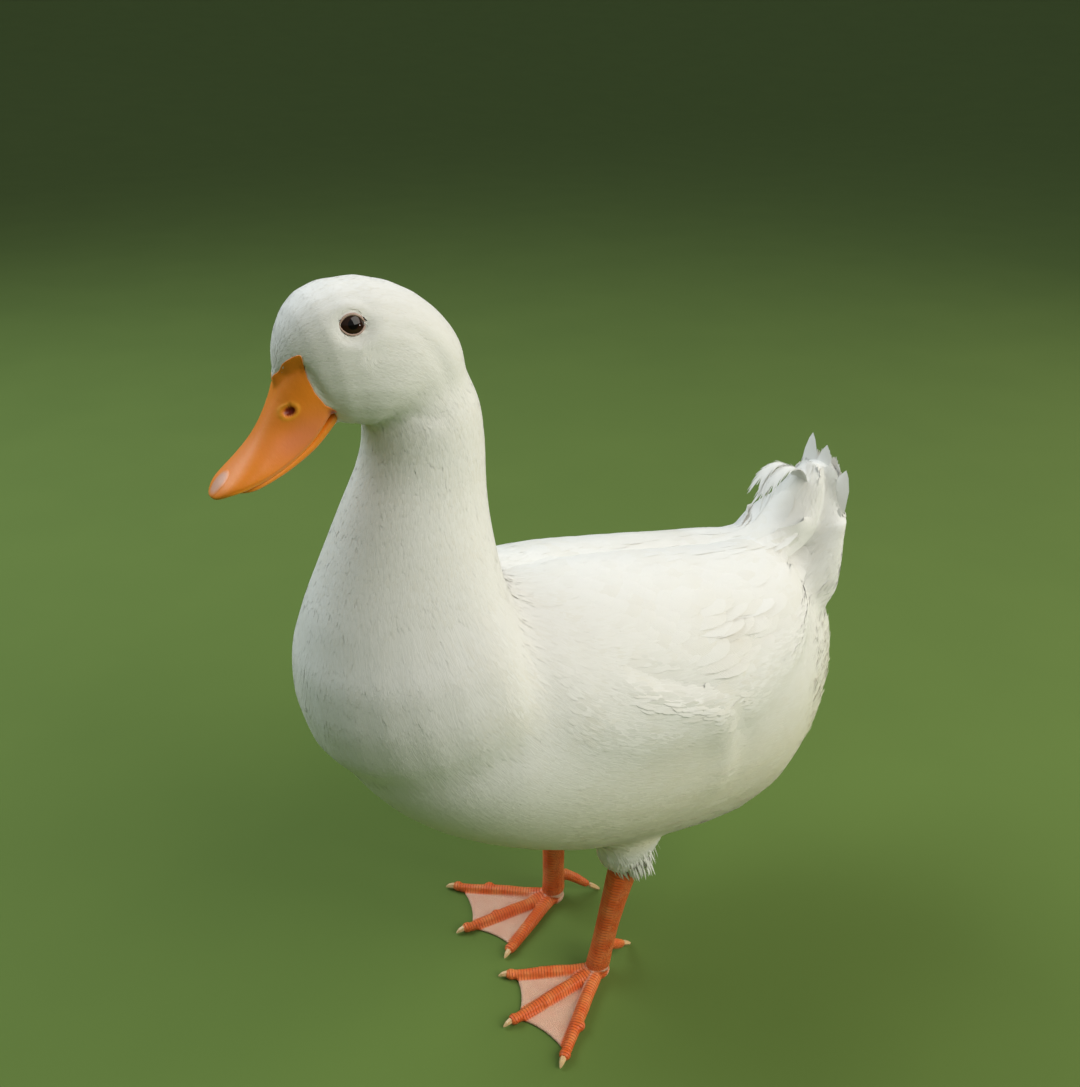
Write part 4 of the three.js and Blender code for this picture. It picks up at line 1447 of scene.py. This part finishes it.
def lid_mesh(name):
    """A soft ring along the opening, heavier above, drawn out a little at the corners."""
    bm = bmesh.new()
    bmesh.ops.create_circle(bm, segments=14, radius=1.0)
    stand = Vector((0, 0, 1)).rotation_difference(Vector((0, 1, 0))).to_matrix()
    bmesh.ops.rotate(bm, verts=bm.verts[:], matrix=stand)
    bmesh.ops.translate(bm, verts=bm.verts[:], vec=(LID_RING, 0, 0))
    bmesh.ops.spin(
        bm, geom=bm.verts[:] + bm.edges[:], cent=(0, 0, 0), axis=(0, 0, 1), angle=2 * math.pi,
        steps=84, use_merge=True)
    face, look = eye_frame(name)
    rearward = unit(np.cross(look, [0, 0, 1]))
    upward = np.cross(rearward, look)
    for vertex in bm.verts:
        x, y, z = vertex.co
        angle, tube = math.atan2(y, x), math.hypot(x, y) - LID_RING
        thick = (0.42 + 0.14 * max(math.sin(angle), 0)) * MM
        corner = 1 + 0.10 * abs(math.cos(angle)) ** 12
        wide, high = EYE_WIDE * corner * math.cos(angle), EYE_HIGH * math.sin(angle)
        out = math.hypot(wide, high) + 0.3 * MM
        around = unit(wide * rearward + high * upward)
        deep = float(ball_depth(out)) - 0.12 * MM
        vertex.co = face + around * (out + tube * thick) + look * (z * thick - deep)
    return mesh_from(bm, f"eyelid_{name}")


# The tail rises along this line of y and z in millimetres.
TAIL_LINE = [(150, 200), (161, 222), (169, 245), (176, 270), (180, 290), (183, 312)]
# The quills that stand out of it: across at the tip, height of the tip, width, in millimetres.
TAIL_QUILLS = [
    (-18, 270, 11), (-14, 284, 12), (-10, 305, 14), (-4, 294, 14), (3, 301, 15), (8, 290, 13),
    (14, 276, 12), (20, 290, 14), (23, 268, 11)]
QUILL_LENGTH = 62
QUILL_STEPS = 11


def tail_feathers(material):
    """The erect tail: pointed quills that part at their tips and stand in the cover of the tail."""
    line = np.array(TAIL_LINE, float)
    paths, ups, widths = [], [], []
    for i, (across, high, width) in enumerate(TAIL_QUILLS):
        heights = np.linspace(high - QUILL_LENGTH, high, QUILL_STEPS)
        share = np.linspace(0, 1, QUILL_STEPS)
        y = np.interp(heights, line[:, 1], line[:, 0]) + 0.5 * (i % 2) - 0.3
        y = y + 1.5 * (across / 25) ** 2
        x = across * (0.72 + 0.28 * share)
        paths.append(np.column_stack([x, y - 1.2 * share**3, heights]) * MM)
        ups.append(np.tile(unit(np.array([0.012 * across, -1, 0.2])), (QUILL_STEPS, 1)))
        widths.append(width * MM)
    paths, ups, widths = (np.array(rows) for rows in (paths, ups, widths))
    flat = np.zeros(len(paths))
    blades("tail_quills", paths, ups, widths, 0.0, flat, 0.35, material, point=1.9)


# The line of a curled feather in millimetres, then each feather's offset across, the share of
# the line it reaches, and how far it sinks towards its end.
CURL_LINE = [
    (0, 165, 262), (0, 163, 279), (0, 156, 290), (0, 146, 293), (0, 136, 288), (0, 129, 277)]
CURLS = [(-4.5, 0.9, 0), (0.5, 1.0, 1.5), (5.0, 0.93, -1.0)]
CURL_STRANDS = 44
CURL_STEPS = 9
CURL_WIDTH = 0.62


def curl_places(curl, at):
    """Places along a curled feather's quill, in millimetres, at shares of its length."""
    offset, reach, low = curl
    points = spline(CURL_LINE, at * reach)
    points[:, 0] += offset * (0.7 + 0.5 * at)
    points[:, 2] -= low * at
    return points


def curl_strand(curl, i, share):
    """One loose strand that leaves the quill, to its left and right by turns."""
    side = -1 if i % 2 else 1
    leave = 0.12 + 0.8 * (i / CURL_STRANDS)
    run = 0.34 * (1 - 0.35 * leave) * (0.85 + 0.3 * RNG.random())
    at = leave + run * share
    points = curl_places(curl, np.minimum(at, 1.0))
    beyond = np.maximum(at - 1, 0)[:, None]
    points += beyond * 62 * np.array([0, -0.45, -0.9])
    points[:, 0] += side * (4.2 * share**0.8 + 0.5 * RNG.standard_normal() * share)
    outward = np.array([0, 0.35, 0.9]) * RNG.normal(0.4, 0.9)
    return points + share[:, None] ** 2 * outward


def curled_feathers(material):
    """The drake's curled feathers: quills that roll forwards, with loose strands along them."""
    share = np.linspace(0, 1, CURL_STEPS)
    paths, widths = [], []
    for curl in CURLS:
        paths.append(curl_places(curl, share))
        widths.append(np.interp(share, [0, 0.3, 1], [1.3, 1.1, 0.5]))
        for i in range(CURL_STRANDS):
            paths.append(curl_strand(curl, i, share))
            widths.append(np.interp(share, [0, 0.4, 1], [0.8, 1.0, 0.15]))
    paths = np.array(paths) * MM
    ahead = np.gradient(paths, axis=1)
    ups = unit(np.cross(ahead, np.array([1.0, 0, 0])))
    wide = np.array(widths) * MM * CURL_WIDTH
    tint = np.zeros(len(paths))
    barb = strand_barbs(len(paths), CURL_STEPS, 2.3) + STRAND[:, 0]
    curl = ribbons(
        "curled_feathers", paths, ups, wide, wide * 0.35, STRAND, tint, barb, material)[0]
    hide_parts("tail_curl")


TUFT_COUNT = 620  # on each side
TUFT_STEPS = 4
TUFT_WIDTH = 0.6 * MM


def thigh_tufts(material):
    """Wisps that hang round the top of each shank, longest behind it."""
    paths, ups = [], []
    t = np.linspace(0, 1, TUFT_STEPS)[:, None]
    for name, hand in SIDES.items():
        middle = box_middle(f"thigh_{name}") * (1, 1, 0)
        for _ in range(TUFT_COUNT):
            angle = RNG.uniform(0, 2 * math.pi)
            out = np.array([math.cos(angle), math.sin(angle), 0])
            start = middle + out * RNG.uniform(8, 14) * MM + (0, 0, RNG.uniform(87, 106) * MM)
            behind = 0.5 + 0.5 * math.sin(angle + 0.5 * hand)
            length = (9 + 11 * behind * RNG.random()) * MM
            fall = np.array([0, 0.18 + 0.3 * behind, -1.0]) + out * RNG.normal(-0.12, 0.12)
            paths.append(start + t * length * fall - out * t**2 * 1.5 * MM)
            ups.append(np.tile(out, (TUFT_STEPS, 1)))
    paths, ups = np.array(paths), np.array(ups)
    count = len(paths)
    taper = np.array([0.7, 1.0, 0.8, 0.1])
    wide = TUFT_WIDTH * taper * (0.8 + 0.4 * RNG.random((count, 1)))
    barb = strand_barbs(count, TUFT_STEPS, 1.7) + STRAND[:, 0]
    ribbons(
        "thigh_tufts", paths, ups, wide, wide * 0.2, STRAND, np.zeros(count), barb, material)


# ---- legs ---------------------------------------------------------------------------------------

LEG_GROWTH = 0.28 * MM
LEG_VOXEL = 0.75 * MM
KNUCKLES = [(0.06, 3.5), (0.36, 3.8)]  # share from claw to ankle, and radius in millimetres
KNUCKLE_FLAT = 0.86


def limb_lines(name):
    """Axes of the shank and toes in metres, for the scutes: (label, start, end)."""
    hand = SIDES[name]
    ankle_y = box_middle(f"hind_toe_{name}")[1] - 13 * MM
    ankle = np.array([34 * MM * hand, ankle_y, 8 * MM])
    top = np.array([36 * MM * hand, box_middle(f"thigh_{name}")[1], SHANK_TOP[name]])
    lines = [("shank", ankle, top)]
    for toe in TOE_NAMES:
        lines.append((toe, ankle * (1, 1, 0.5), box_middle(f"claw_{toe}_{name}")))
    hind_start = ankle + np.array([0, 3 * MM, 14 * MM])
    lines.append(("hind", hind_start, box_middle(f"claw_hind_{name}")))
    return lines


def leg_top(name, x, y):
    """The hidden end of a shank, which runs up into the feathers of the thigh."""
    back_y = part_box(f"shank_{name}")[1].y - 8 * MM
    rows = [(x, back_y, SHANK_TOP[name] - 12 * MM, 6, 7, 7),
            (x, (back_y + y) / 2, 92 * MM, 8, 8, 8), (x, y, 108 * MM, 9, 10, 10)]
    stations = [(*row[:3], *(size * MM for size in row[3:])) for row in rows]
    return mesh_from(loft(stations, (0, -1, 0)), "stub")


def knuckle(spot, radius):
    """A flattened ball on the floor, for a joint of a toe."""
    bm = bmesh.new()
    bmesh.ops.create_uvsphere(bm, u_segments=20, v_segments=14, radius=radius * MM)
    bmesh.ops.scale(bm, verts=bm.verts[:], vec=(1, 1, KNUCKLE_FLAT))
    rest = (spot[0], spot[1], radius * KNUCKLE_FLAT * MM)
    bmesh.ops.translate(bm, verts=bm.verts[:], vec=rest)
    return mesh_from(bm, "knuckle")


def leg_shapes():
    """Shanks and feet with their hidden tops and knuckles, as overlapping closed shapes."""
    bm = bmesh.new()
    for name in SIDES:
        for node in (f"shank_{name}", f"foot_{name}", f"hind_toe_{name}"):
            merged_copy(bm, node, LEG_GROWTH)
        x = box_middle(f"shank_{name}")[0] + 1 * MM * SIDES[name]
        y = box_middle(f"thigh_{name}")[1]
        bm.from_mesh(leg_top(name, x, y))
        for toe in TOE_NAMES:
            tip, root = box_middle(f"claw_{toe}_{name}"), np.array([x, y - 12 * MM, 4 * MM])
            for share, radius in KNUCKLES:
                bm.from_mesh(knuckle(tip + (root - tip) * share, radius))
    return bm


def scale_fields(places, normals):
    """Scute number, share of the front, and distance from the nearest limb's axis."""
    best = np.full(len(places), FAR)
    scute, front = np.zeros(len(places)), np.zeros(len(places))
    for name in SIDES:
        own = places[:, 0] * SIDES[name] > 0
        for label, start, end in limb_lines(name):
            d = places - start
            axis = end - start
            length = np.linalg.norm(axis)
            t = np.clip(d @ axis / length**2, 0, 1)
            gap = np.linalg.norm(d - t[:, None] * axis, axis=1)
            closer = own & (gap < best)
            best[closer] = gap[closer]
            pitch = 2.0 * MM if label == "shank" else 1.8 * MM
            scute[closer] = (t * length / pitch)[closer]
            facing = -normals[:, 1] if label == "shank" else normals[:, 2]
            front[closer] = ease(facing, 0.15, 0.5)[closer]
    return scute, front, best


def build_legs():
    """One skin for both legs and feet, with scutes and webs."""
    mesh = remeshed("legs", leg_shapes(), LEG_VOXEL, smoothing=3)
    places, normals = mesh_array(mesh, "co"), mesh_array(mesh, "normal")
    scute, front, gap = scale_fields(places, normals)
    web = ease(gap, 4.4 * MM, 5.6 * MM) * (places[:, 2] < 9 * MM)
    scale = np.abs(np.sin(scute * math.pi)) ** 0.5
    move = 0.13 * (scale - 0.6) * front * (1 - web)
    places = places + normals * (move * MM)[:, None]
    places[:, 2] = np.maximum(places[:, 2], 0)
    set_places(mesh, places)
    paint(mesh, {"scute": scute, "front": front, "web": web})
    mesh.materials.clear()
    mesh.shade_smooth()
    legs = add_object("leg_skin", mesh, leg_finish())
    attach(legs, BODY)
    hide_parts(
        *(f"{part}_{name}" for part in ("shank", "foot", "hind_toe") for name in SIDES))


def finish_claws():
    """The frame's own claws in horn."""
    horn = claw_finish()
    for name in SIDES:
        for toe in (*TOE_NAMES, "hind"):
            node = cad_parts[f"claw_{toe}_{name}"]
            for slot in node.material_slots:
                slot.material = horn


# ---- stage --------------------------------------------------------------------------------------

CAMERA_AZIMUTH = math.radians(57)
CAMERA_DOWN = math.radians(25.5)
CAMERA_DISTANCE = 0.62
CAMERA_LENS = 35.87
CAMERA_AIM = Vector((-42.3, 1.6, 45.5)) * MM  # from the middle of the frame's box

# Soft lights round the middle of the bird: turn from +X and height in degrees, distance and size
# in metres, power, colour.
LAMPS = [
    ("near_sky", 25, 40, 2.0, 1.5, 27.5, (1.0, 0.965, 0.87)),
    ("far_sky", 212, 48, 2.0, 1.5, 28, (0.88, 0.95, 1.0)),
    ("low_sun", 80, 14, 2.0, 1.2, 9, (1.0, 0.90, 0.75)),
    ("glint", 36, 14, 1.2, 0.09, 0.9, (1.0, 1.0, 1.0)),
]
WORLD_COLOUR = (0.93, 1.0, 1.0)
WORLD_STRENGTH = 0.22

FLOOR_REACH = 60
FLOOR_FLAT = 8  # metres out to where the floor starts to rise
FLOOR_RISE = 0.25
FLOOR_GREENS = (0.105, 0.175, 0.03), (0.125, 0.20, 0.036)


def aimed(data, place, look):
    """A camera or lamp at a place, looking along a direction."""
    thing = bpy.data.objects.new(data.name, data)
    thing.location = place
    thing.rotation_euler = look.to_track_quat("-Z", "Y").to_euler()
    bpy.context.scene.collection.objects.link(thing)
    return thing


def set_camera(middle):
    """The camera, ahead of the bird on its left and above it."""
    level = math.cos(CAMERA_DOWN)
    look = Vector((-math.sin(CAMERA_AZIMUTH) * level, math.cos(CAMERA_AZIMUTH) * level,
                   -math.sin(CAMERA_DOWN)))
    data = bpy.data.cameras.new("camera")
    data.lens = CAMERA_LENS
    data.sensor_width = 36
    data.clip_start = 0.01
    place = middle + CAMERA_AIM - look * CAMERA_DISTANCE
    bpy.context.scene.camera = aimed(data, place, look)


def lay_floor():
    """A wide green bowl: flat under the bird, rising far behind it."""
    bm = bmesh.new()
    bmesh.ops.create_grid(bm, x_segments=24, y_segments=24, size=FLOOR_REACH)
    for vertex in bm.verts:
        vertex.co.z = FLOOR_RISE * max(vertex.co.xy.length - FLOOR_FLAT, 0)
    shader = Shader("studio_floor", Roughness=0.95)
    shader.feed(Base_Color=shader.mix(shader.noise(6.0, 3.0), *FLOOR_GREENS))
    floor = add_object("floor", mesh_from(bm, "floor"), shader.material)


def light_scene(middle):
    """An even sky and the lamps."""
    world = bpy.data.worlds.new("studio")
    world.use_nodes = True
    sky = world.node_tree.nodes["Background"]
    sky.inputs["Color"].default_value = (*WORLD_COLOUR, 1)
    sky.inputs["Strength"].default_value = WORLD_STRENGTH
    bpy.context.scene.world = world
    for name, azimuth, height, distance, size, power, colour in LAMPS:
        data = bpy.data.lights.new(name, "AREA")
        data.size, data.energy, data.color = size, power, colour
        azimuth, height = math.radians(azimuth), math.radians(height)
        level = math.cos(height)
        heading = Vector((math.cos(azimuth) * level, math.sin(azimuth) * level,
                          math.sin(height)))
        aimed(data, middle + heading * distance, -heading)


def build_stage():
    """Camera, floor and light round the middle of the frame's box."""
    middle = (CAD_BOX[0] + CAD_BOX[1]) / 2
    bpy.context.scene.view_settings.view_transform = "Standard"
    set_camera(middle)
    lay_floor()
    light_scene(middle)


# ---- the bird -----------------------------------------------------------------------------------


def build_bird():
    """Every piece of the duck. The coat's random draws follow one another in this order."""
    feather = plumage_finish("plumage", 0.00006)
    vane = plumage_finish("vane_plumage", 0.00012)
    form = build_form()
    surface = Surface(form)
    where = regions(surface.middles)
    build_bill(surface)
    build_eyes()
    build_skin(form, feather)
    build_legs()
    finish_claws()
    coat_soft(surface, where, feather)
    coat_folded(surface, vane)
    coat_long(surface, vane)
    tail_feathers(vane)
    curled_feathers(feather)
    thigh_tufts(feather)


build_stage()
build_bird()
